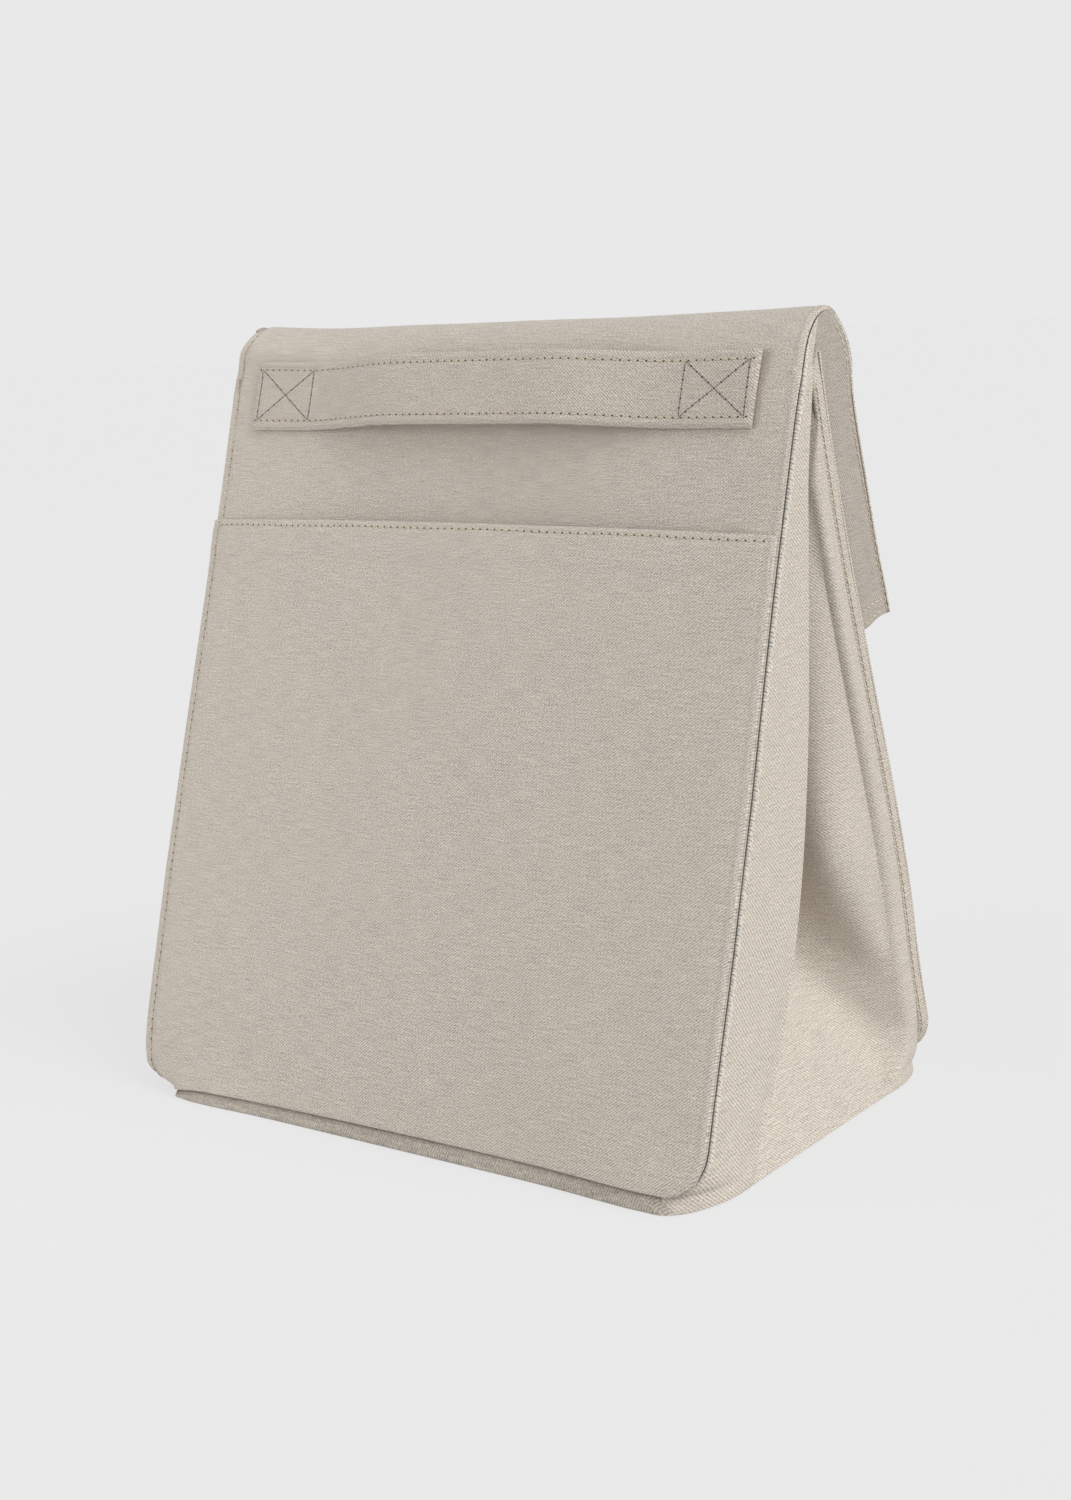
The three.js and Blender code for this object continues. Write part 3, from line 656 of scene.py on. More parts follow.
def make_back_fold():
    middle = back_y(BACK_TOP, -LEAF_GAP / 2)
    angle = np.linspace(math.pi, 0, 13)[:, None]
    x = np.linspace(-FOLD_HALF, FOLD_HALF, 41)
    inside = LEAF_GAP / BACK_COS / 2
    outer, inner = (
        np.stack(np.broadcast_arrays(x, middle + r * np.cos(angle), BACK_TOP + r * np.sin(angle)), -1)
        for r in (inside + SKIN, inside)
    )
    uv = np.stack(np.broadcast_arrays(x, BACK_TOP + 3 * (math.pi - angle)), -1)
    return placed(shell("back_fold_cloth", outer, inner, uv), with_back_fold, "back_panel_fold")


def make_inner_leaf():
    rows = spaced((INNER_HEM_Z, 176, 14), (176, BACK_TOP, 18))
    face = lambda z, d: back_y(z, d - LEAF_BACK)
    relief = lambda x, z, edge: -0.2 * bump(edge, SIDE_ROW, 0.7) - 0.2 * bump(z - INNER_HEM_Z, 4, 1.2)
    half = lambda z: LEAF_HALF + (FOLD_HALF - LEAF_HALF) * smooth(241, 249, z)
    obj = wall_cloth("flap_inner_cloth", rows, half, face, 0.0, relief)
    return placed(obj, with_inner_leaf, "back_panel_flap")


# gussets
def turn_radii(z):
    """Radii of the gusset's turn behind a seam, across and along the bag's depth."""
    turn = seam_turn(z)
    return float(corner_inset(z, FOOT_X, turn, FOOT_RISE_X)), float(corner_inset(z, FOOT_Y, turn))


def front_inside(z):
    return float(front_y(min(z, FRONT_INSIDE_TOP), INSIDE))


def back_inside(z):
    return float(back_y(z, INSIDE))


def crest_at(z):
    settled_crest = CREST_TOP - CREST_REACH * math.exp(-z / CREST_SETTLE) + 5.6 * float(smooth(205, 258, z))
    return max(settled_crest, front_inside(z) + turn_radii(z)[1] + 1)


def back_strip_at(z):
    turn = turn_radii(z)[1]
    back = back_inside(z)
    return min(max(back - max(BACK_STRIP, turn + 4), crest_at(z) + 4), back - turn - 0.2)


def tuck_depth(z):
    front_part = crest_at(z) - float(front_y(z, INSIDE))
    back_part = back_inside(z) - back_strip_at(z)
    leg = (BASE_DEPTH - front_part - back_part) / 2
    half = (back_strip_at(z) - crest_at(z)) / 2
    return math.sqrt(leg * leg - half * half)


def gusset_knots(z, depth):
    """Coarse line (x, y) of the right gusset from front to back, moved inwards by a depth."""
    across, turn = turn_radii(z)
    crest, strip = crest_at(z), back_strip_at(z)
    if z < TUCK_APEX:
        share = max(z, 0.5) / TUCK_APEX
        tuck = tuck_depth(TUCK_APEX) * share
        half = (back_strip_at(TUCK_APEX) - crest_at(TUCK_APEX) - VALLEY_FLOOR) / 2
        ridge_front = crest + half * share + FOOT_RIDGE * (1 - share)
        ridge_back = strip - half * share - FOOT_RIDGE * (1 - share)
    else:
        tuck = tuck_depth(z)
        ridge_front = (crest + strip - VALLEY_FLOOR) / 2
        ridge_back = (crest + strip + VALLEY_FLOOR) / 2
    angle = np.linspace(0, math.pi / 2, 7)
    near, far = front_inside(z) + turn, back_inside(z) - turn
    front_turn = np.stack([GUSSET_X - across + across * np.sin(angle), near - turn * np.cos(angle)], -1)
    back_turn = np.stack([GUSSET_X - across + across * np.cos(angle), far + turn * np.sin(angle)], -1)
    fold = [(GUSSET_X, crest), (GUSSET_X - tuck, ridge_front), (GUSSET_X - tuck, ridge_back), (GUSSET_X, strip)]
    line = np.concatenate([front_turn, np.array(fold), back_turn])
    return moved_line(line, depth) if depth else line


def moved_line(line, depth):
    """The line moved to its inner side, with mitred corners and its ends kept level."""
    run = unit(np.diff(line, axis=0))
    normal = np.stack([-run[:, 1], run[:, 0]], -1)
    before = np.vstack([[0, 1], normal[:-1], [0, -1]])
    after = np.vstack([[0, 1], normal[1:], [0, -1]])
    middle = unit(before + after)
    reach = depth / np.maximum((middle * after).sum(1), 0.35)
    return line + middle * reach[:, None]


CREST_ROUND = 1.3
FOOT_ROUND = 0.6
VALLEY_ROUND = 1.2
TRIANGLE_ROUND = 9.0
STRIP_ROUND = 7.0
BELLY_WAY = np.array([0.28, -0.96])


def belly(z):
    """How far the back half of the fold swells forwards, as a share of the fold's opening."""
    return (0.34 + 0.36 * float(smooth(130, 215, z))) * float(smooth(40, 95, z))


def gusset_line(z, depth=0.0):
    """The same line with rounded corners, as a fixed number of points."""
    line = gusset_knots(z, depth)
    knots = line[6:12]
    inner = TRIANGLE_ROUND if z < TUCK_APEX else VALLEY_ROUND
    radii = [CREST_ROUND + FOOT_ROUND * math.exp(-z / 35), inner, inner, STRIP_ROUND]
    counts = [12, 26, 5, 26, 7]
    legs = np.linalg.norm(np.diff(knots, axis=0), axis=1)
    cuts = [min(radii[k], legs[k] * 0.48, legs[k + 1] * 0.48) for k in range(4)]
    swell = belly(z) * BELLY_WAY * np.linalg.norm(knots[1] - knots[4])
    out = [line[:6]]
    place = knots[0]
    for k in range(4):
        corner = knots[k + 1]
        a = corner + (knots[k] - corner) * cuts[k] / max(legs[k], 1e-6)
        b = corner + (knots[k + 2] - corner) * cuts[k] / max(legs[k + 1], 1e-6)
        share = np.linspace(0, 1, counts[k], endpoint=False)[:, None] ** (1.8 if k == 1 else 1)
        part = place + (a - place) * share
        if k == 3:
            part = part + share**3 * (1 - share) / 0.105 * swell
        out.append(part)
        t = np.linspace(0, 1, 8, endpoint=False)[:, None]
        out.append((1 - t) ** 2 * a + 2 * t * (1 - t) * corner + t * t * b)
        place = b
    out.append(np.linspace(place, knots[5], counts[4], endpoint=False))
    out.append(line[11:])
    return np.concatenate(out)


def gusset_rows(low, high):
    top = [(205, high, 10)] if high > 206 else []
    return spaced((low, 6, 6), (6, 14, 5), CORNER_ROWS, (CORNER_TOP, 90, 24), (90, 205, 26), *top)


def grid_normals(grid):
    return unit(np.cross(np.gradient(grid, axis=1), np.gradient(grid, axis=0)))


def gusset_face(depth, low, high):
    """Face of the right gusset at a depth, as rows from the foot up, softened round the triangle's apex."""
    z_rows = gusset_rows(low, high)
    lines = [gusset_line(z, depth) for z in z_rows]
    grid = np.stack([np.column_stack([line, np.full(len(line), z)]) for line, z in zip(lines, z_rows)])
    keep = 0.9 * bump(z_rows, TUCK_APEX - 4, 13)[1:-1, None, None]
    for _ in range(26):
        middle = (grid[:-2] + grid[2:]) / 2
        grid[1:-1] += (middle - grid[1:-1]) * keep
    return grid


def gusset_uv(grid):
    across = np.stack([lengths(row) for row in grid[..., :2]])
    return np.stack([across - across[:, -1:] / 2, grid[..., 2]], -1)


def behind_crest(grid):
    return grid[..., 1] - np.array([crest_at(z) for z in grid[:, 0, 2]])[:, None]


def gusset_lift(grid, uv, seed):
    """Softness of the gusset cloth, with fine puckers low in the lower triangle."""
    y, z = grid[..., 1], grid[..., 2]
    soft = 0.4 * waves(uv[..., 0], z, seed) * np.sin(np.linspace(0, math.pi, grid.shape[1]))[None, :] ** 2
    pucker = 0.16 * np.sin(z * math.tau / 2.4 + 0.09 * y + 0.5 * np.sin(y / 7)) * bump(z, 24, 12) * bump(y, -22, 15)
    behind = behind_crest(grid)
    after = 1.6 * smooth(0.0, 1.2, behind) * (1 - smooth(1.2, 15, behind)) * smooth(84, 50, z) * smooth(4, 15, z)
    before = 0.7 * smooth(-9, -1.5, behind) * (1 - smooth(-1.5, -0.2, behind)) * smooth(90, 50, z) * smooth(2, 12, z)
    return soft + pucker - after - before


def gusset_dip(grid):
    """The padding keeps clear of the pleat that the cloth has behind its crest."""
    behind, z = behind_crest(grid), grid[..., 2]
    return -2.4 * smooth(-6, -1, behind) * (1 - smooth(3, 20, behind)) * smooth(95, 55, z) * smooth(1, 10, z)


def sided(name, side):
    return f"{name}_{'right' if side > 0 else 'left'}"


def mirror_x(grid, side):
    grid = grid.copy()
    grid[..., 0] *= side
    return grid


def gusset_piece(name, side, near, far, low, high, edge, lifted=True):
    outer, inner = gusset_face(near, low, high), gusset_face(far, low, high)
    uv = gusset_uv(outer)
    lift = gusset_lift(outer, uv, 41 + side) if lifted else gusset_dip(outer)
    move = grid_normals(outer) * lift[..., None]
    return side_shell(name, side, outer + move, inner + move, uv, edge)


GUSSET_FOOT = 0.3
GUSSET_CLOTH_TOP = 246.0


def make_gusset(side):
    obj = gusset_piece("gusset_cloth", side, 0, SKIN, GUSSET_FOOT, GUSSET_CLOTH_TOP, 0.2)
    return placed(obj, with_root, sided("gusset", side))


# seam allowances that stand along the panels' side edges
def seam_edge(name, side, places, point_at, middle, half, wide, twisted, taper=9):
    """Rounded strip along an edge path, thinner at both ends. point_at(places, out, depth) gives x, y, z."""
    size = 0.35 + 0.65 * smooth(0, taper, np.minimum(places - places[0], places[-1] - places))
    rings, depths = [], []
    for a in np.linspace(0, math.tau, 15)[:-1]:
        grown = size * (1 + twisted * np.sin(places * math.tau / 1.5 + 2 * a))
        c, s = math.cos(a), math.sin(a)
        out = -0.35 - wide + wide * np.sign(c) * abs(c) ** 0.6 * grown
        depth = middle + half * np.sign(s) * abs(s) ** 0.75 * grown
        rings.append(point_at(places, out, depth))
        depths.append(depth * (1 if twisted else -1))
    uv = np.stack(np.broadcast_arrays(np.stack(depths, 1), places[:, None]), -1).reshape(-1, 2)
    return lofted(sided(name, side), mirror_x(np.stack(rings, 1), side), uv)


def edge_slope(half_at, place):
    """How fast a half width grows along an edge, and the length of that slope's direction."""
    dx = (half_at(place + 0.2) - half_at(place - 0.2)) / 0.4
    return dx, np.hypot(1, dx)


def front_edge_point(s, out, depth):
    """Point beside the front panel's side edge: out is across the edge, depth is behind the panel."""
    dx, n = edge_slope(side_half, s)
    return np.column_stack([side_half(s) + out / n, front_at(s - out * dx / n, np.broadcast_to(depth, s.shape))])


def back_edge_point(z, out, depth):
    dx, n = edge_slope(skin_half, z)
    height = z - out * dx / n
    return np.column_stack([skin_half(z) + out / n, back_y(height, depth), height])


SEAM_END_S = 283.0


def make_front_seam(side):
    """Seam allowance beside the front panel. The right one is a bead that lies deeper over the fold."""
    if side > 0:
        end, out, middle, half, twisted, sunk = SEAM_END_S, 1.25, 2.7, 1.05, 0.12, 0.6
    else:
        end, out, middle, half, twisted, sunk = 262.0, 1.2, 3.7, 0.95, 0.06, 0.0

    def point_at(s, o, d):
        across = o + out * smooth(276, 250, s) + 0.1 * np.sin(s / 9)
        return front_edge_point(s, across, d + sunk * smooth(235, 262, s))

    places = spaced((8, CORNER_TOP, 60), (CORNER_TOP, FOLD_FROM, 520), (FOLD_FROM, end, 90))
    return placed(seam_edge("front_seam", side, places, point_at, middle, half, 2.15, twisted), with_fold)


def make_seam_shadow(side):
    """Painted shadow: a thin dark strip in the gap between the front panel's edge and the seam allowance."""
    end, out, deep = (SEAM_END_S - 1, 0.5, 1.1) if side > 0 else (254.0, -0.1, 2.6)

    def point_at(s, o, d):
        depth = deep + 0.8 * smooth(240, 262, s) + (d - 1.1) * (1 - 0.3 * smooth(215, 255, s))
        return front_edge_point(s, o + out, depth)

    places = spaced((7, CORNER_TOP, 30), (CORNER_TOP, FOLD_FROM, 110), (FOLD_FROM, end, 50))
    return placed(seam_edge("front_seam_line", side, places, point_at, 1.1, 0.43, 0.5, 0.0), with_fold)


def back_flange_point(z, out, depth):
    """Point of the flat seam allowance at the back, which dives behind the crest at its top."""
    sunk = 0.55 * smooth(2.5, 5.2, depth) + 0.5 * smooth(238, 250, z)
    room = back_y(z) - crest_y(z) + 0.4
    depth = np.where(z > 200, np.minimum(depth, room), depth)
    return back_edge_point(z, out + 0.2 + 0.08 * np.sin(z / 8) - sunk, depth)


def make_back_seam(side):
    places = spaced((5.8, CORNER_TOP, 36), (CORNER_TOP, 252.4, 120))
    return placed(seam_edge("back_seam", side, places, back_flange_point, 2.4, 2.9, 1.0, 0.0, 3), with_root)


# sides of the fold and of the flap
CROWN_FOOT = 235.2
APEX_Z = 251.8
CREST_END = (14.3, 260.9)
BACK_EDGE = np.array([(10.5, 251.6), (11.9, 247.5), (13.9, 239.4), (15.4, CROWN_FOOT)])


def crest_end():
    """Length along the outer profile at which the crest runs out under the fold."""
    s = np.linspace(BEND_S, J_S, 200)
    return float(np.interp(CREST_END[0], front_at(s, 1.1)[:, 0], s))


def crown_strip_grid(extra):
    """The gusset's front strip going on up into the fold, from the front cloth to the crest."""
    first = front_at(np.linspace(BEND_S - 2.8, crest_end(), 34), 1.1)
    z = np.linspace(CROWN_FOOT, CREST_END[1], 34)
    last = np.column_stack([crest_y(z) - 0.9 * smooth(243, 237, z), z])
    share = np.concatenate([np.linspace(0, 0.8, 9), [0.87, 0.92, 0.95, 0.975, 0.99, 1.0]])[None, :, None]
    yz = first[:, None] * (1 - share) + last[:, None] * share
    y = yz[..., 0]
    away = last[:, None, 0] - y
    x = GUSSET_X + 0.08 - 0.75 * smooth(238, 256, yz[..., 1]) - 0.7 * bump(away, 0, 0.45) - extra
    x = x - 0.35 * bump(share[..., 0], 0.45, 0.3) * smooth(262, 240, yz[..., 1])
    return joined(x, yz)


def crown_back_x(y, z, s):
    """How far out the cloth behind the crest stands: flush with the outer cloth, then with the flap's side."""
    near = y - np.where(z > APEX_Z, crest_y(z), np.interp(-z, -BACK_EDGE[:, 1], BACK_EDGE[:, 0]))
    x = side_half(s) + 0.12 - 0.45 * (1 - smooth(0.5, 7.5, near)) - 0.25 * bump(y, 27, 5)
    share = (y - flap_outer_face(z)) / (flap_inner_face(z) - flap_outer_face(z))
    flap_x = np.interp(share, FLAP_PATH[:8, 1], FLAP_PATH[:8, 0]) + 0.06
    return x + (flap_x - x) * smooth(247, 237, z) * smooth(15, 21, y)


def crown_back_grid(extra):
    """Side cloth behind the crest and the back panel's edge, flush with the outer cloth."""
    s = np.linspace(crest_end() - 1.5, J_S + 6, 60)
    arch = front_at(s, 0.25)
    base = np.vstack([(13.3, 260.9), (10.0, APEX_Z), BACK_EDGE[1:] - (0.8, 0), (arch[-1, 0], CROWN_FOOT)])
    run = lengths(base)
    foot = along(np.linspace(0, run[-1], len(s)), run, base)
    t = np.linspace(0, 1, 26)[:, None, None]
    yz = arch * (1 - t) + foot * t
    x = crown_back_x(yz[..., 0], yz[..., 1], np.broadcast_to(s, yz.shape[:2])) - extra
    return joined(x, yz)


def make_crown(side, name, grid, thick):
    outer, inner = grid(0.0), grid(thick)
    return placed(side_shell(name, side, outer, inner, outer[..., 1:], 0.1), with_fold)


def flap_outer_face(z):
    return FLAP_START[0] + (FLAP_START[1] - z) * math.tan(FLAP_LEAN) - 2.2 / math.cos(FLAP_LEAN)


def flap_inner_face(z):
    return back_y(z, -LEAF_BACK - GAP - LINING - GAP)


# the flap's side strip, across the bag and as a share of the way from the outer leaf to the inner one
FLAP_PATH = np.array([
    (117.0, -0.06), (117.0, 0.02), (116.8, 0.08), (117.1, 0.18), (117.6, 0.45), (118.0, 0.8), (118.1, 1.05),
    (117.9, 1.18), (117.3, 1.26), (116.5, 1.28), (115.8, 1.25), (115.4, 1.15), (115.2, 0.95), (114.8, 0.87),
    (113.5, 0.84), (50, 0.84),
])


def flap_path(extra):
    """The strip's path with even steps, moved inwards."""
    line = FLAP_PATH * (1, LEAF_SPAN)
    run = lengths(line)
    at = np.concatenate([np.linspace(0, run[-2], 46, endpoint=False), np.linspace(run[-2], run[-1], 12)])
    path = along(at, run, line)
    way = unit(np.gradient(path, axis=0))
    path = path + extra * np.stack([-way[:, 1], way[:, 0]], -1)
    return path[:, 0], path[:, 1] / LEAF_SPAN


def flap_side_grid(extra):
    hem = np.linspace(FLAP_HEM_Z - 0.4, FLAP_HEM_Z + 8, 17)
    z = np.concatenate([hem, np.linspace(FLAP_HEM_Z + 10, FLAP_TOP_Z, 30)])[:, None]
    near, far = flap_outer_face(z), flap_inner_face(z)
    x, share = flap_path(extra)
    height = z - 2.6 * smooth(0.2, 1.2, share) * smooth(FLAP_HEM_Z + 14, FLAP_HEM_Z, z)
    soft = 0.35 * waves(LEAF_SPAN * share, z, 93, (40, 27, 19)) * smooth(0.2, 0.5, share) * smooth(236, 222, z)
    return np.stack(np.broadcast_arrays(x - soft * (x > 116.5), near + (far - near) * share, height), -1)


def make_flap_side(side):
    outer, inner = flap_side_grid(0.0), flap_side_grid(0.7)
    uv = np.stack(np.broadcast_arrays(lengths(outer[0]), outer[..., 2]), -1)
    obj = side_shell("flap_side_outer", side, outer, inner, uv, 0.15)
    return placed(obj, with_outer_leaf, sided("flap_gusset_outer", side))


def make_flap_side_inner(side):
    z = np.linspace(FLAP_HEM_Z, FLAP_TOP_Z, 24)[:, None]
    near, far = flap_outer_face(z), flap_inner_face(z)
    t = np.linspace(0, 1, 14)
    x = LEAF_HALF - 1 + (FLAP_VALLEY - LEAF_HALF + 1) * t
    valley = near + (far - near) * FLAP_VALLEY_SHARE - 2 * GAP
    y = (far + 0.9) * (1 - t) + valley * t
    outer, inner = (np.stack(np.broadcast_arrays(x, y - extra, z), -1) for extra in (0.0, 0.9))
    obj = side_shell("flap_side_inner", side, outer, inner, outer[..., ::2], 0.2)
    return placed(obj, with_inner_leaf, sided("flap_gusset_inner", side))


# foot
def foot_ring(z, inset_x, inset_y, corner_x, corner_y):
    half = GUSSET_X - inset_x
    front, back = float(front_y(z, inset_y)), float(back_y(z, inset_y))
    wide_x, wide_y = corner_x + 4, corner_y + 1
    centres = [
        (half - corner_x, front + corner_y, -math.pi / 2, corner_x, corner_y),
        (half - corner_x, back - corner_y, 0, corner_x, corner_y),
        (corner_x - half, back - corner_y, math.pi / 2, corner_x, corner_y),
        (wide_x - half, front + wide_y, math.pi, wide_x, wide_y),
    ]
    ring = []
    for k, (cx, cy, start, rx, ry) in enumerate(centres):
        angle = np.linspace(start, start + math.pi / 2, 15)
        arc = np.column_stack([cx + rx * np.cos(angle), cy + ry * np.sin(angle)])
        nx, ny, turn, rx, ry = centres[(k + 1) % 4]
        target = np.array([nx + rx * math.cos(turn), ny + ry * math.sin(turn)])
        ring += [arc, np.linspace(arc[-1], target, 22)[1:-1]]
    ring = np.concatenate(ring)
    return np.column_stack([ring, np.full(len(ring), z)])


def make_base():
    """Cloth of the base, from the tray's floor up over its rim and down round the foot."""
    levels = [(1.0, 7.0, 1.4), (4.9, 7.0, 1.4), (4.9, 5.8, 0.1), (4.0, 5.0, -0.1), (2.6, 3.8, -0.25)]
    levels += [(1.4, 2.6, -0.25), (0.9, 2.2, -0.2), (0.5, 1.6, -0.1), (0.15, 1.0, 0.1), (0.0, 1.2, 0.7)]
    obj = lofted("base_cloth", [foot_ring(*level, FOOT_X, FOOT_Y) for level in levels], sharp=70)
    return placed(obj, with_root, "base_panel")


def foot_plate(name, node, low, high, inset):
    levels = [(low, inset + 0.6), (low + 0.3, inset + 0.1), (high - 0.3, inset + 0.1), (high, inset + 0.6)]
    rings = [foot_ring(z, i, i, BASE_CORNER - i, BASE_CORNER - i) for z, i in levels]
    return placed(lofted(name, rings), with_root, node)


# handle strap
STRAP_POINT = front_at(STRAP_CENTRE)
STRAP_UP = unit(front_at(STRAP_CENTRE + 0.5) - front_at(STRAP_CENTRE - 0.5))
STRAP_OUT = np.array([-STRAP_UP[1], STRAP_UP[0]])


def strap_at(x, up, out):
    x, up, out = np.broadcast_arrays(x, up, out)
    return joined(x, STRAP_POINT + STRAP_UP * (up + 0.8)[..., None] + STRAP_OUT * out[..., None])


def strap_rise(x):
    """How far the strap's back stands off the wall."""
    return GAP + (GRIP_RISE - GAP) * smooth(SEWN_END + 3, 30, np.abs(x))


def strap_face(x, up):
    """Height of the strap's upper face over its back, with rounded edges and stitch channels."""
    edge = STRAP_WIDTH / 2 - np.abs(up)
    end = np.where(x > 0, STRAP_END[1], STRAP_END[-1]) - np.abs(x)
    thick = STRAP_THICK - 0.8 * bump(edge, 0, 0.8) - 0.25 * bump(edge, 3.1, 0.8)
    thick = thick + 0.1 * smooth(3.6, 6.5, edge) - 0.5 * bump(end, 0, 0.8)
    return thick + 0.1 * waves(x, up * 2, 61, (40, 25, 17))


def make_strap(side):
    """One half of the strap, from its middle to its sewn end."""
    end, half = STRAP_END[side], STRAP_WIDTH / 2
    x = spaced((0, GRIP_END, 24), (GRIP_END, SEWN_END, 20), (SEWN_END, end - 3, 20), (end - 3, end, 7))
    near = np.array([0, 0.35, 0.8, 1.4, 2.1, 2.6, 3.1, 3.6, 4.4, 5.4])
    up = np.concatenate([-half + near, np.linspace(-half + 7, half - 7, 7), half - near[::-1]])
    x, up = np.meshgrid(x, up, indexing="ij")
    rise = strap_rise(x)
    outer = strap_at(x, up, rise + strap_face(x * side, up))
    uv = np.stack([x * side, up], -1)
    obj = side_shell("handle_strap", side, outer, strap_at(x, up, rise + 0.15), uv, 0)
    nodes = sided("handle_end", side), sided("handle_slope", side), "handle_grip"
    return placed(obj, with_handle(side), *nodes)


def with_handle(side):
    """Bends a piece of the strap between its sewn end and its grip."""
    start, end = (side * SEWN_END * MM, 0, 0.25), (side * GRIP_END * MM, 0, 0.25)
    return lambda obj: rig.blend(obj, "root", "handle", start=start, end=end)


# stitches
def stitch_count(run):
    return max(int(round(run[-1] / PITCH)), 1)


def thread_run(line, normal, thick):
    """Points of single stitches along a line lying on cloth, as six rings of six points each."""
    run = lengths(line)
    count = stitch_count(run)
    middle = (np.arange(count) + 0.5) * run[-1] / count
    half = STITCH / 2
    tangent = unit(along(middle + half, run, line) - along(middle - half, run, line))
    up = along(middle, run, normal)
    up = unit(up - tangent * (up * tangent).sum(1, keepdims=True))
    across = np.cross(tangent, up)
    step = np.array([-1, -0.82, -0.4, 0.4, 0.82, 1])[:, None, None] * half
    radius = np.array([0.35, 0.8, 1, 1, 0.8, 0.35])[:, None] * thick / 2
    height = np.array([-0.3, -0.08, 0.1, 0.1, -0.08, -0.3])[:, None] + STITCH_LIFT
    angle = np.linspace(0, math.tau, 7)[:-1]
    centre, tangent, up, across = (v[:, None, None] for v in (along(middle, run, line), tangent, up, across))
    rise, aside = height + radius * np.sin(angle), radius * np.cos(angle)
    return (centre + tangent * step + up * rise[..., None] + across * aside[..., None]).reshape(count, -1, 3)


def make_stitches(name, runs, thick):
    """One object from several rows, each a line and its normals."""
    rings = np.concatenate([thread_run(*run, thick) for run in runs])
    single = ring_faces(6, 6)
    faces = [[v + k * 36 for v in face] for k in range(len(rings)) for face in single]
    obj = new_object(name, rings.reshape(-1, 3), faces)
    outward(obj)
    return finish_mesh(obj, 60)


def make_hole_shade(name, runs, radius):
    """Painted shade: dark discs at each needle hole, where the stitches of those rows meet."""
    angle = np.linspace(0, math.tau, 9)[:-1, None]
    points, faces = [], []
    for line, normal in runs:
        run = lengths(line)
        count = stitch_count(run)
        for place in np.arange(count + 1) * run[-1] / count:
            centre, up = along(place, run, line), unit(along(place, run, normal))
            way = unit(along(min(place + 0.5, run[-1]), run, line) - along(max(place - 0.5, 0), run, line))
            across = np.cross(up, way)
            rim = centre + 0.03 * up + radius * (np.cos(angle) * way + 0.85 * np.sin(angle) * across)
            k = len(points)
            points += [*rim, centre + 0.09 * up, centre - 0.3 * up]
            for i in range(8):
                j = (i + 1) % 8
                faces += [[k + i, k + j, k + 8], [k + j, k + i, k + 9]]
    return finish_mesh(new_object(name, np.array(points), faces), 60)


def sewn(name, runs, attach, thick=THREAD, hole=0.2):
    """Thread of several rows, with painted shade as dark discs at each needle hole. attach ties a piece to its body.
    """
    pieces = make_stitches(name, runs, thick), make_hole_shade(name + "_holes", runs, hole)
    for piece in pieces:
        attach(piece)
    return pieces


def facing(line, *direction):
    """A row of stitches whose normals all point one way."""
    return line, np.tile(np.array(direction, float), (len(line), 1))


def on_front(x, s, relief):
    """Row on the front cloth's face, with normals out of it."""
    line = joined(x, front_at(s, -relief(x, s, side_half(s) - np.abs(x))))
    return line, out_of_front(s)


def out_of_front(s):
    return unit(np.column_stack([np.zeros(len(s)), front_at(s, 0.0) - front_at(s, 1.0)]))


def make_front_stitches():
    s = spaced((POCKET_MOUTH + 2, FOLD_FROM, 60), (FOLD_FROM, J_S, 90))
    x = -front_edge_point(s, -SIDE_ROW, 0.0)[:, 0]
    return sewn("front_stitching", [on_front(x, s, front_relief)], with_fold, hole=0.36)


def make_pocket_stitches():
    s = spaced((8.5, CORNER_TOP, 50), (CORNER_TOP, POCKET_MOUTH - 1, 160))
    x = GAP - front_edge_point(s, -SIDE_ROW, 0.0)[:, 0]
    hem_x = np.linspace(-116, 116, 200)
    hem = POCKET_MOUTH - 2.0 + 0.12 * np.sin(hem_x / 9)
    rows = [(pocket_surface(x, s), out_of_front(s)), (pocket_surface(hem_x, hem), out_of_front(hem))]
    return sewn("pocket_stitching", rows, with_root, hole=0.4)


def make_back_stitches():
    """Row inside each back edge, and a row on the gusset beside that seam."""
    rows = []
    z = spaced((12, CORNER_TOP, 40), (CORNER_TOP, 247, 160))
    beside = back_flange_point(spaced((14, CORNER_TOP, 10), (CORNER_TOP, 240, 110)), -0.42, 4.3)
    for side in (1, -1):
        line = back_edge_point(z, -SIDE_ROW, 0.0)
        line[:, 1] += back_relief(line[:, 0] * side, z, np.full(len(z), SIDE_ROW))
        rows += [facing(mirror_x(line, side), 0, *BACK_OUT), facing(mirror_x(beside, side), side, 0, 0)]
    return sewn("back_stitching", rows, with_root)


def make_flap_stitches():
    s = np.linspace(J_S + 2, END_S - 1, 80)
    rows = [on_front((side_half(s) - SIDE_ROW) * side, s, flap_relief) for side in (1, -1)]
    x = np.linspace(-114, 114, 120)
    rows += [on_front(x, np.full(len(x), END_S - up), flap_relief) for up in HEM_ROWS]
    for side in (1, -1):
        rows += flap_side_rows(side)
    return sewn("flap_stitching", rows, with_outer_leaf)


def flap_side_rows(side):
    """Row down the flap's side strip and two short rows above its hem."""
    grid = mirror_x(flap_side_grid(0.0), side)
    share = flap_path(0.0)[1]
    height = grid[:, 0, 2]
    fullest = int(np.argmax(share))
    want = np.interp(height, [190, 205, 237], [-0.02, 0.02, 0.08])
    line = np.stack([along(w, share[:fullest], row[:fullest]) for w, row in zip(want, grid)])
    rows = [facing(line[1:], side, 0, 0)]
    for up in HEM_ROWS:
        k = int(np.argmin(np.abs(height - (FLAP_HEM_Z - 0.4 + up))))
        rows.append(facing(grid[k, 3:fullest - 5], side, 0, 0))
    return rows


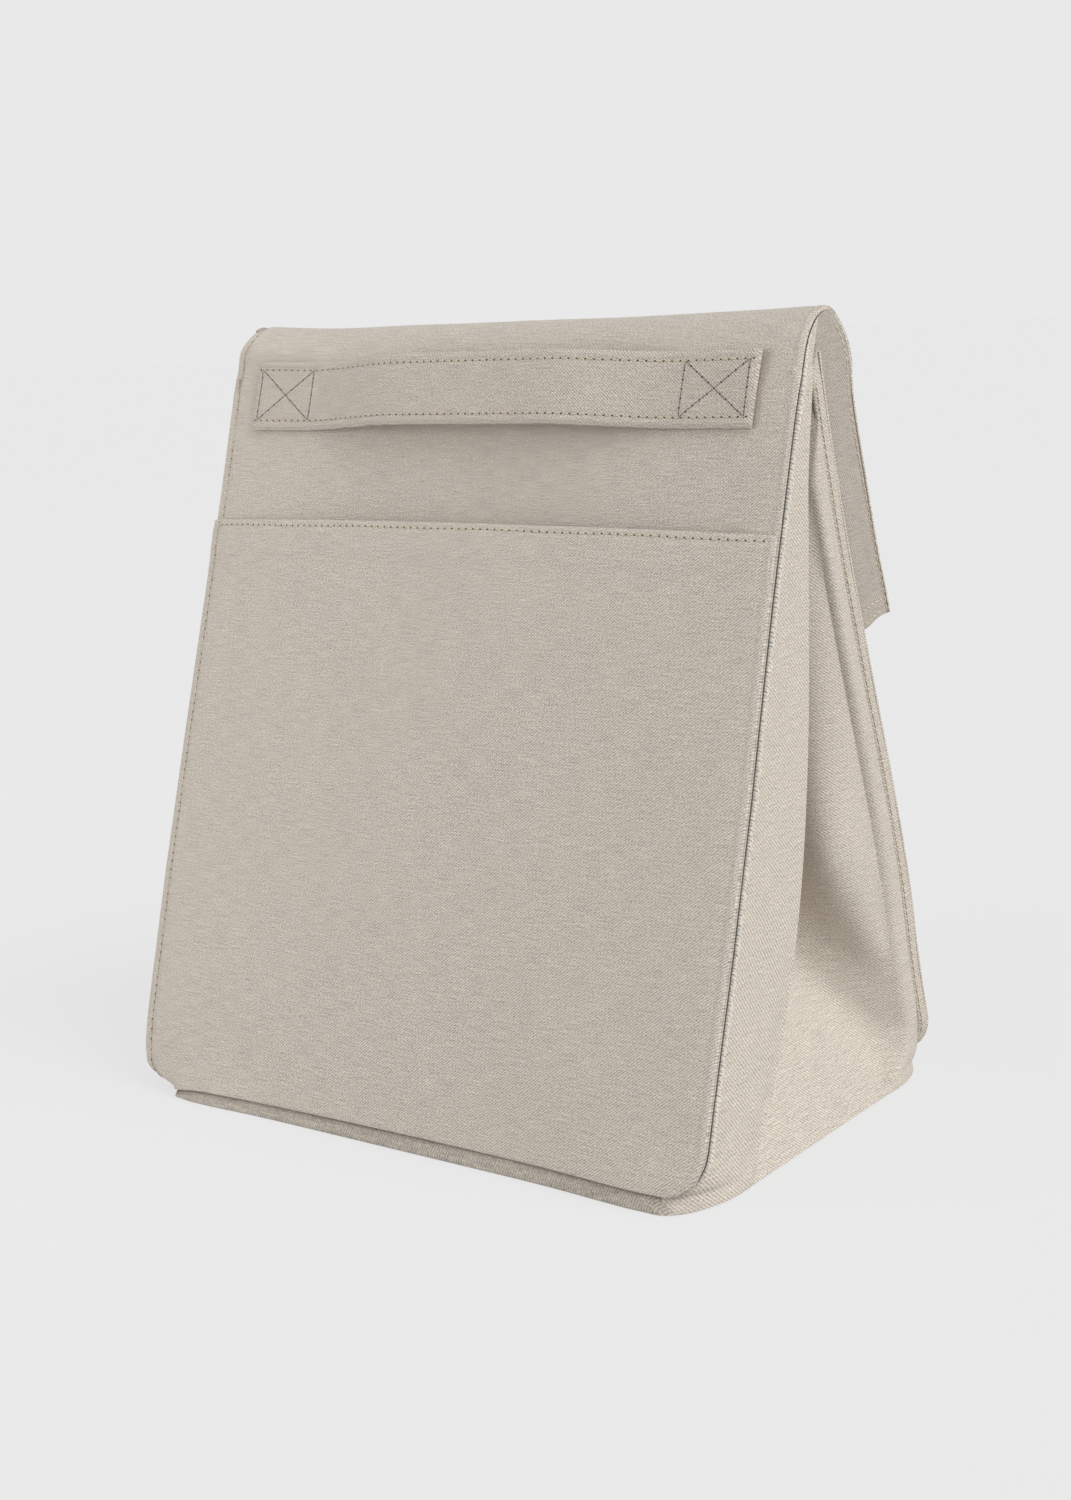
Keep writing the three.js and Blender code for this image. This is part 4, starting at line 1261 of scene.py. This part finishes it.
def make_crown_stitches():
    s = np.linspace(BEND_S + 44, J_S + 6, 60)
    yz = front_at(s, 3.2)
    line = joined(crown_back_x(yz[:, 0], yz[:, 1], s), yz)
    return sewn("fold_stitching", [facing(mirror_x(line, side), side, 0, 0) for side in (1, -1)], with_fold)


def strap_row(x, up, side):
    x, up = np.broadcast_arrays(x, up)
    line = strap_at(x, up, strap_rise(x) + strap_face(x * side, up) + 0.02)
    return facing(mirror_x(line, side), 0, *STRAP_OUT)


def make_strap_stitches(side):
    x = np.linspace(1.5, STRAP_END[side] - 1.4, 130)
    rows = [strap_row(x, BOX_HALF, side), strap_row(x, -BOX_HALF, side)]
    return sewn(sided("strap_stitching", side), rows, with_handle(side), thick=0.36, hole=STRAP_HOLE)


def make_box_stitches(side):
    """The cross of a sewn end, then the box's two upright sides."""
    low, high = BOX[side]
    half = BOX_HALF
    t = np.linspace(0, 1, 16)
    ends = [(low, half, high, -half), (low, -half, high, half), (low, -half, low, half), (high, -half, high, half)]
    rows = [strap_row(x0 + (x1 - x0) * t, u0 + (u1 - u0) * t, side) for x0, u0, x1, u1 in ends]
    pieces = sewn(sided("box_stitching", side), rows, with_root, thick=0.17, hole=STRAP_HOLE)
    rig.replaces(pieces[0], sided("handle_stitching", side))
    return pieces


# foam and lining, inside the cloth
def wall_inside(word, face):
    """Foam of one wall, and its lining, which closes in on the cloth above the foam."""
    flat = lambda x, z, edge: 0.15 * waves(x, z, 71) * smooth(0, 20, edge)
    rows = spaced((PAD_FOOT, CORNER_TOP, 8), (CORNER_TOP, WALL_PAD_TOP, 20))
    foam = wall_cloth(f"{word}_foam", rows, inner_half, face, INSIDE, flat, WALL_FOAM, 9, 0.6)
    near = INSIDE + WALL_FOAM + GAP
    depth_at = lambda z: near + (INSIDE - near) * smooth(228.5, 234.5, z)
    lining_face = lambda z, d: face(z, 0.0) + (face(z, 1.0) - face(z, 0.0)) * (depth_at(z) + d)
    rows = spaced((PAD_FOOT, CORNER_TOP, 8), (CORNER_TOP, 228, 22), (228, 236, 6), (236, GUSSET_TOP, 4))
    lining = wall_cloth(f"{word}_lining_cloth", rows, inner_half, lining_face, 0.0, flat, LINING, 17, 0.1)
    return placed(foam, with_root, f"{word}_insulation"), placed(lining, with_root, f"{word}_lining")


def gusset_inside(side):
    foam = gusset_piece("gusset_foam", side, 1.3, 3.8, PAD_FOOT, GUSSET_PAD_TOP, 0.3, False)
    lining = gusset_piece("gusset_lining_cloth", side, 4.1, 4.7, PAD_FOOT, GUSSET_PAD_TOP, 0.1, False)
    return (placed(foam, with_root, sided("gusset_insulation", side)),
            placed(lining, with_root, sided("gusset_lining", side)))


def make_flap_linings():
    half = lambda place: np.full(len(place), LEAF_HALF - 0.6)
    slack = lambda seed: lambda x, place, edge: 0.15 * waves(x, place, seed) - 0.15
    rows = spaced((J_S + 2.6, END_S - 1.0, 24))
    outer = profile_cloth("flap_outer_lining", rows, half, INSIDE, slack(83), LINING, 17)
    rows = spaced((INNER_HEM_Z + 1, 249, 24))
    face = lambda z, d: back_y(z, d - LEAF_BACK - GAP - LINING)
    inner = wall_cloth("flap_inner_lining", rows, half, face, 0.0, slack(87), LINING, 17, 0.1)
    return placed(outer, with_mouth, "front_lining_flap"), placed(inner, with_inner_leaf, "back_lining_flap")


# camera, light and stage
CAMERA_TURN = (37.2175, 11.8454, -3.2791)
CAMERA_PLACE = (0.46605, -0.59969, 0.27710)
FOCAL_PIXELS = 2256.78
PHOTO_HEIGHT = 1500
SENSOR = 36
BACKGROUND = 0.814
AMBIENT = 0.5
FLOOR = 9.0


def make_camera():
    yaw, pitch, roll = (math.radians(a) for a in CAMERA_TURN)
    back = Vector((math.sin(yaw) * math.cos(pitch), -math.cos(yaw) * math.cos(pitch), math.sin(pitch)))
    level = Vector((math.cos(yaw), math.sin(yaw), 0))
    upright = back.cross(level)
    right = level * math.cos(roll) + upright * math.sin(roll)
    up = upright * math.cos(roll) - level * math.sin(roll)
    data = bpy.data.cameras.new("camera")
    data.sensor_width = SENSOR
    data.lens = FOCAL_PIXELS / PHOTO_HEIGHT * SENSOR
    data.clip_start = 0.01
    data.clip_end = 50
    camera = bpy.data.objects.new("camera", data)
    turned = Matrix((right, up, back)).transposed().to_4x4()
    camera.matrix_world = Matrix.Translation(CAMERA_PLACE) @ turned
    bpy.context.scene.collection.objects.link(camera)
    bpy.context.scene.camera = camera


def add_light(name, kind, strength, direction):
    """Light that comes from that direction."""
    data = bpy.data.lights.new(name, kind)
    data.energy = strength
    light = bpy.data.objects.new(name, data)
    light.rotation_euler = Vector(direction).to_track_quat("Z", "Y").to_euler()
    bpy.context.scene.collection.objects.link(light)
    return light


def node(tree, kind, *inputs, **values):
    """A shader node. Its inputs are numbers or other nodes' outputs, given in order or by name."""
    made = tree.nodes.new(kind)
    for key in list(values):
        if key not in made.inputs:
            setattr(made, key, values.pop(key))
    for socket, value in [*zip(made.inputs, inputs), *((made.inputs[key], values[key]) for key in values)]:
        if isinstance(value, bpy.types.NodeSocket):
            tree.links.new(value, socket)
        else:
            socket.default_value = value
    return made


def math_node(tree, operation, *values):
    return node(tree, "ShaderNodeMath", *values, operation=operation).outputs[0]


def mixed(tree, factor, a, b):
    return node(tree, "ShaderNodeMixShader", factor, a, b).outputs[0]


def grey(level):
    return level, level, level, 1


def shown_to_camera(tree):
    """Factor that is 1 for rays that see the background, also by reflection or through glass."""
    rays = node(tree, "ShaderNodeLightPath").outputs
    seen = math_node(tree, "MAXIMUM", rays["Is Camera Ray"], rays["Is Glossy Ray"])
    return math_node(tree, "MAXIMUM", seen, rays["Is Transmission Ray"])


def make_light():
    """Sky that is a little stronger from below, a broad sun at the right and a soft lamp at the left."""
    world = bpy.data.worlds.new("world")
    bpy.context.scene.world = world
    world.use_nodes = True
    tree = world.node_tree
    tree.nodes.clear()
    way = node(tree, "ShaderNodeTexCoord").outputs["Generated"]
    height = node(tree, "ShaderNodeSeparateXYZ", way).outputs["Z"]
    strength = math_node(tree, "MULTIPLY_ADD", height, -0.14, AMBIENT)
    soft = node(tree, "ShaderNodeBackground", grey(1), strength).outputs[0]
    plain = node(tree, "ShaderNodeBackground", grey(BACKGROUND), 1).outputs[0]
    node(tree, "ShaderNodeOutputWorld", mixed(tree, shown_to_camera(tree), soft, plain))
    add_light("side_light", "SUN", 2.5, (0.78, -0.02, 0.5)).data.angle = math.radians(60)
    front = add_light("front_light", "AREA", 5.0, (-0.7, -0.9, 0.28))
    front.data.size = 0.6
    front.location = (-0.7, -0.9, 0.4)


def make_floor():
    """Round floor that looks like the background, and that reflects light on the bag as a grey one."""
    mesh = bpy.data.meshes.new("floor")
    ring = [(FLOOR * math.cos(a), FLOOR * math.sin(a), 0) for a in np.linspace(0, math.tau, 97)[:-1]]
    mesh.from_pydata(ring, [], [list(range(96))])
    floor = bpy.data.objects.new("floor", mesh)
    bpy.context.scene.collection.objects.link(floor)
    mat, tree = new_material("floor")
    tree.nodes.clear()
    lit = node(tree, "ShaderNodeBsdfDiffuse", grey(0.13)).outputs[0]
    glow = node(tree, "ShaderNodeEmission", grey(1), 0.697).outputs[0]
    both = node(tree, "ShaderNodeAddShader", lit, glow).outputs[0]
    plain = node(tree, "ShaderNodeBsdfDiffuse", grey(0.5)).outputs[0]
    node(tree, "ShaderNodeOutputMaterial", mixed(tree, shown_to_camera(tree), plain, both))
    mesh.materials.append(mat)
    floor.location.z = -0.0002
    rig.stage(floor)


def set_view():
    bpy.context.scene.view_settings.view_transform = "Standard"


# materials
def new_material(name):
    mat = bpy.data.materials.new(name)
    mat.use_nodes = True
    return mat, mat.node_tree


def scaled(tree, vector, scale, turn=0.0):
    return node(tree, "ShaderNodeMapping", Vector=vector, Scale=scale, Rotation=(0, 0, turn)).outputs["Vector"]


def noise(tree, vector, scale, detail, rough):
    return node(tree, "ShaderNodeTexNoise", Vector=vector, Scale=scale, Detail=detail, Roughness=rough).outputs["Fac"]


def bands(tree, vector, period, turn):
    """Even bands of that period in metres, turned by an angle."""
    moved = scaled(tree, vector, (1, 1, 1), turn)
    wave = node(tree, "ShaderNodeTexWave", Vector=moved, Scale=0.314 / period, Distortion=0.5, Detail=2.0)
    wave.inputs["Detail Scale"].default_value = 0.6
    return wave.outputs["Fac"]


def weighted(tree, total, *parts):
    """A number, plus each pattern times its weight."""
    for value, weight in parts:
        total = math_node(tree, "MULTIPLY_ADD", value, weight, total)
    return total


def shade(tree, *parts):
    """Patterns round the middle value 1."""
    return weighted(tree, 1 - sum(weight for _, weight in parts) / 2, *parts)


def surface(tree, colour, factor, height, strength, size, rough):
    """Colour times a factor, and a relief of some size in metres, on the material's shader."""
    shader = tree.nodes["Principled BSDF"].inputs
    tint = node(tree, "ShaderNodeVectorMath", colour, operation="SCALE", Scale=factor)
    relief = node(tree, "ShaderNodeBump", Strength=strength, Distance=size, Height=height)
    tree.links.new(tint.outputs[0], shader["Base Color"])
    tree.links.new(relief.outputs[0], shader["Normal"])
    shader["Roughness"].default_value = rough
    return shader


def cloth_material(name, colour, twill, ribs=0.42, period=0.00076, uses_uv=True):
    """Woven cloth: twill at an angle in degrees, level slubs, fainter upright ones, mottling and fibres."""
    mat, tree = new_material(name)
    place = node(tree, "ShaderNodeTexCoord").outputs["UV" if uses_uv else "Object"]
    diagonal = bands(tree, place, period, math.radians(twill))
    level = noise(tree, scaled(tree, place, (110, 2600, 110)), 1.0, 2.0, 0.6)
    upright = noise(tree, scaled(tree, place, (2600, 150, 150)), 1.0, 2.0, 0.55)
    mottle = noise(tree, place, 30.0, 3.0, 0.5)
    fibre = noise(tree, place, 1800.0, 1.0, 0.5)
    factor = shade(tree, (level, 0.7), (upright, 0.3), (mottle, 0.06), (fibre, 1.3), (diagonal, ribs))
    height = weighted(tree, 0.0, (diagonal, 0.6), (level, 0.9), (fibre, 0.5))
    shader = surface(tree, colour, factor, height, 0.55, 0.00016, 0.92)
    shader["Specular IOR Level"].default_value = 0.25
    shader["Sheen Weight"].default_value = 0.12
    return mat


CLOTH = (0.56, 0.505, 0.44)
# darker copy of the cloth for the side of the fold behind the crest and the flap's side strips: painted shade
CLOTH_PAINTED_SHADE = (0.405, 0.36, 0.311)
FOOT_CLOTH = (0.46, 0.412, 0.355)
STRAP_CLOTH = (0.527, 0.473, 0.409)
# lighter copy of the cloth for the seam beads beside the front panel: painted highlight
BEAD_PAINTED_HIGHLIGHT = (0.66, 0.60, 0.53)


def dress(obj, material, slot):
    obj.data.materials.clear()
    obj.data.materials.append(material)
    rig.slot(obj, slot)
    return obj


def plain_material(name, colour, rough, fine, amount, relief=0.0001, sheen=0.0):
    """Thread, foam, lining or board: fine grain and mottling in the colour, and a fine relief."""
    mat, tree = new_material(name)
    place = node(tree, "ShaderNodeTexCoord").outputs["Object"]
    grain = noise(tree, place, fine, 3.0, 0.6)
    cloud = noise(tree, place, 45.0, 3.0, 0.5)
    factor = shade(tree, (grain, amount), (cloud, amount * 0.6))
    surface(tree, colour, factor, grain, 0.5, relief, rough)["Sheen Weight"].default_value = sheen
    return mat


def dress_stitches(pieces, material, slot, dark):
    thread, hole_shade = pieces
    dress(thread, material, slot)
    # dark discs at the needle holes, in the dark thread's material: painted shade
    dress(hole_shade, dark, "thread_dark")


def dress_inside(pieces, foam, lining):
    pad, cover = pieces
    dress(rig.padded(pad, 0.7), foam, "foam")
    dress(cover, lining, "lining")


def build_side(side, strap, bead, dark, light, foam, lining):
    """The gusset, the seams, the sides of the fold and one half of the strap."""
    word, twill = ("right", -50) if side > 0 else ("left", 50)
    outside = cloth_material(f"cloth_side_{word}", CLOTH, twill, 0.36, 0.00092)
    # the darker copy of the cloth is painted shade, for the fold's side behind the crest and the flap's sides
    cloth_in_shade = cloth_material(f"cloth_reverse_{word}", CLOTH_PAINTED_SHADE, twill, 0.36, 0.00092)
    # the dark strip in the front seam's gap is painted shadow, in the dark thread's material
    dress(make_seam_shadow(side), dark, "thread_dark")
    # the seam beads take the lighter copy of the cloth: painted highlight
    dress(make_front_seam(side), bead, "cloth")
    dress(make_gusset(side), outside, "cloth")
    dress(make_back_seam(side), outside, "cloth")
    dress(make_crown(side, "fold_strip", crown_strip_grid, 1.7), outside, "cloth")
    # painted shade: these sides take the darker copy of the cloth
    dress(make_crown(side, "fold_side", crown_back_grid, 0.8), cloth_in_shade, "cloth")
    dress(make_flap_side(side), cloth_in_shade, "cloth")
    dress(make_flap_side_inner(side), cloth_in_shade, "cloth")
    dress(make_strap(side), strap, "cloth")
    dress_stitches(make_strap_stitches(side), light, "thread_light", dark)
    dress_stitches(make_box_stitches(side), dark, "thread_dark", dark)
    dress_inside(gusset_inside(side), foam, lining)


def build():
    make_camera()
    make_light()
    make_floor()
    set_view()
    front = cloth_material("cloth_front", CLOTH, 50)
    strap = cloth_material("cloth_strap", STRAP_CLOTH, -48)
    # lighter copy of the cloth for the seam beads: painted highlight
    bead = cloth_material("cloth_bead", BEAD_PAINTED_HIGHLIGHT, -50)
    foot = cloth_material("cloth_foot", FOOT_CLOTH, 40, uses_uv=False)
    dark = plain_material("thread_dark", (0.05, 0.045, 0.042), 0.7, 5000.0, 0.5)
    light = plain_material("thread_light", (0.62, 0.55, 0.40), 0.75, 5000.0, 0.4)
    foam = plain_material("foam", (0.86, 0.85, 0.82), 0.9, 1600.0, 0.12, 0.0004)
    lining = plain_material("lining", (0.66, 0.67, 0.68), 0.42, 700.0, 0.10, 0.0003)
    board = plain_material("board", (0.25, 0.25, 0.24), 0.7, 900.0, 0.25)
    tape = plain_material("touch_tape", (0.50, 0.45, 0.39), 0.95, 1800.0, 0.6, 0.0008, 0.3)

    for make in (make_front_cloth, make_flap_cloth, make_pocket, make_back_cloth, make_back_fold, make_inner_leaf):
        dress(make(), front, "cloth")
    dress(make_base(), foot, "cloth")
    for side in (1, -1):
        build_side(side, strap, bead, dark, light, foam, lining)
    for make in (make_front_stitches, make_pocket_stitches, make_back_stitches, make_flap_stitches,
                 make_crown_stitches):
        dress_stitches(make(), light, "thread_light", dark)
    for word, face in (("front", front_y), ("back", back_y)):
        dress_inside(wall_inside(word, face), foam, lining)
    for piece in make_flap_linings():
        dress(piece, lining, "lining")
    dress(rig.padded(foot_plate("base_foam", "base_insulation", 1.3, 4.3, 2.6), 0.7), foam, "foam")
    dress(foot_plate("base_lining_cloth", "base_lining", 6.9, 7.5, 11.2), lining, "lining")
    dress(frame["nodes"]["base_board"], board, "board")
    for name in ("closure_loop_tape", "closure_hook_tape"):
        dress(frame["nodes"][name], tape, "touch_tape")


build()
visual_box = [list(corner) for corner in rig.bounds()]
json.dump({"cad": cad_box, "visual": visual_box}, open("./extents.json", "w"))
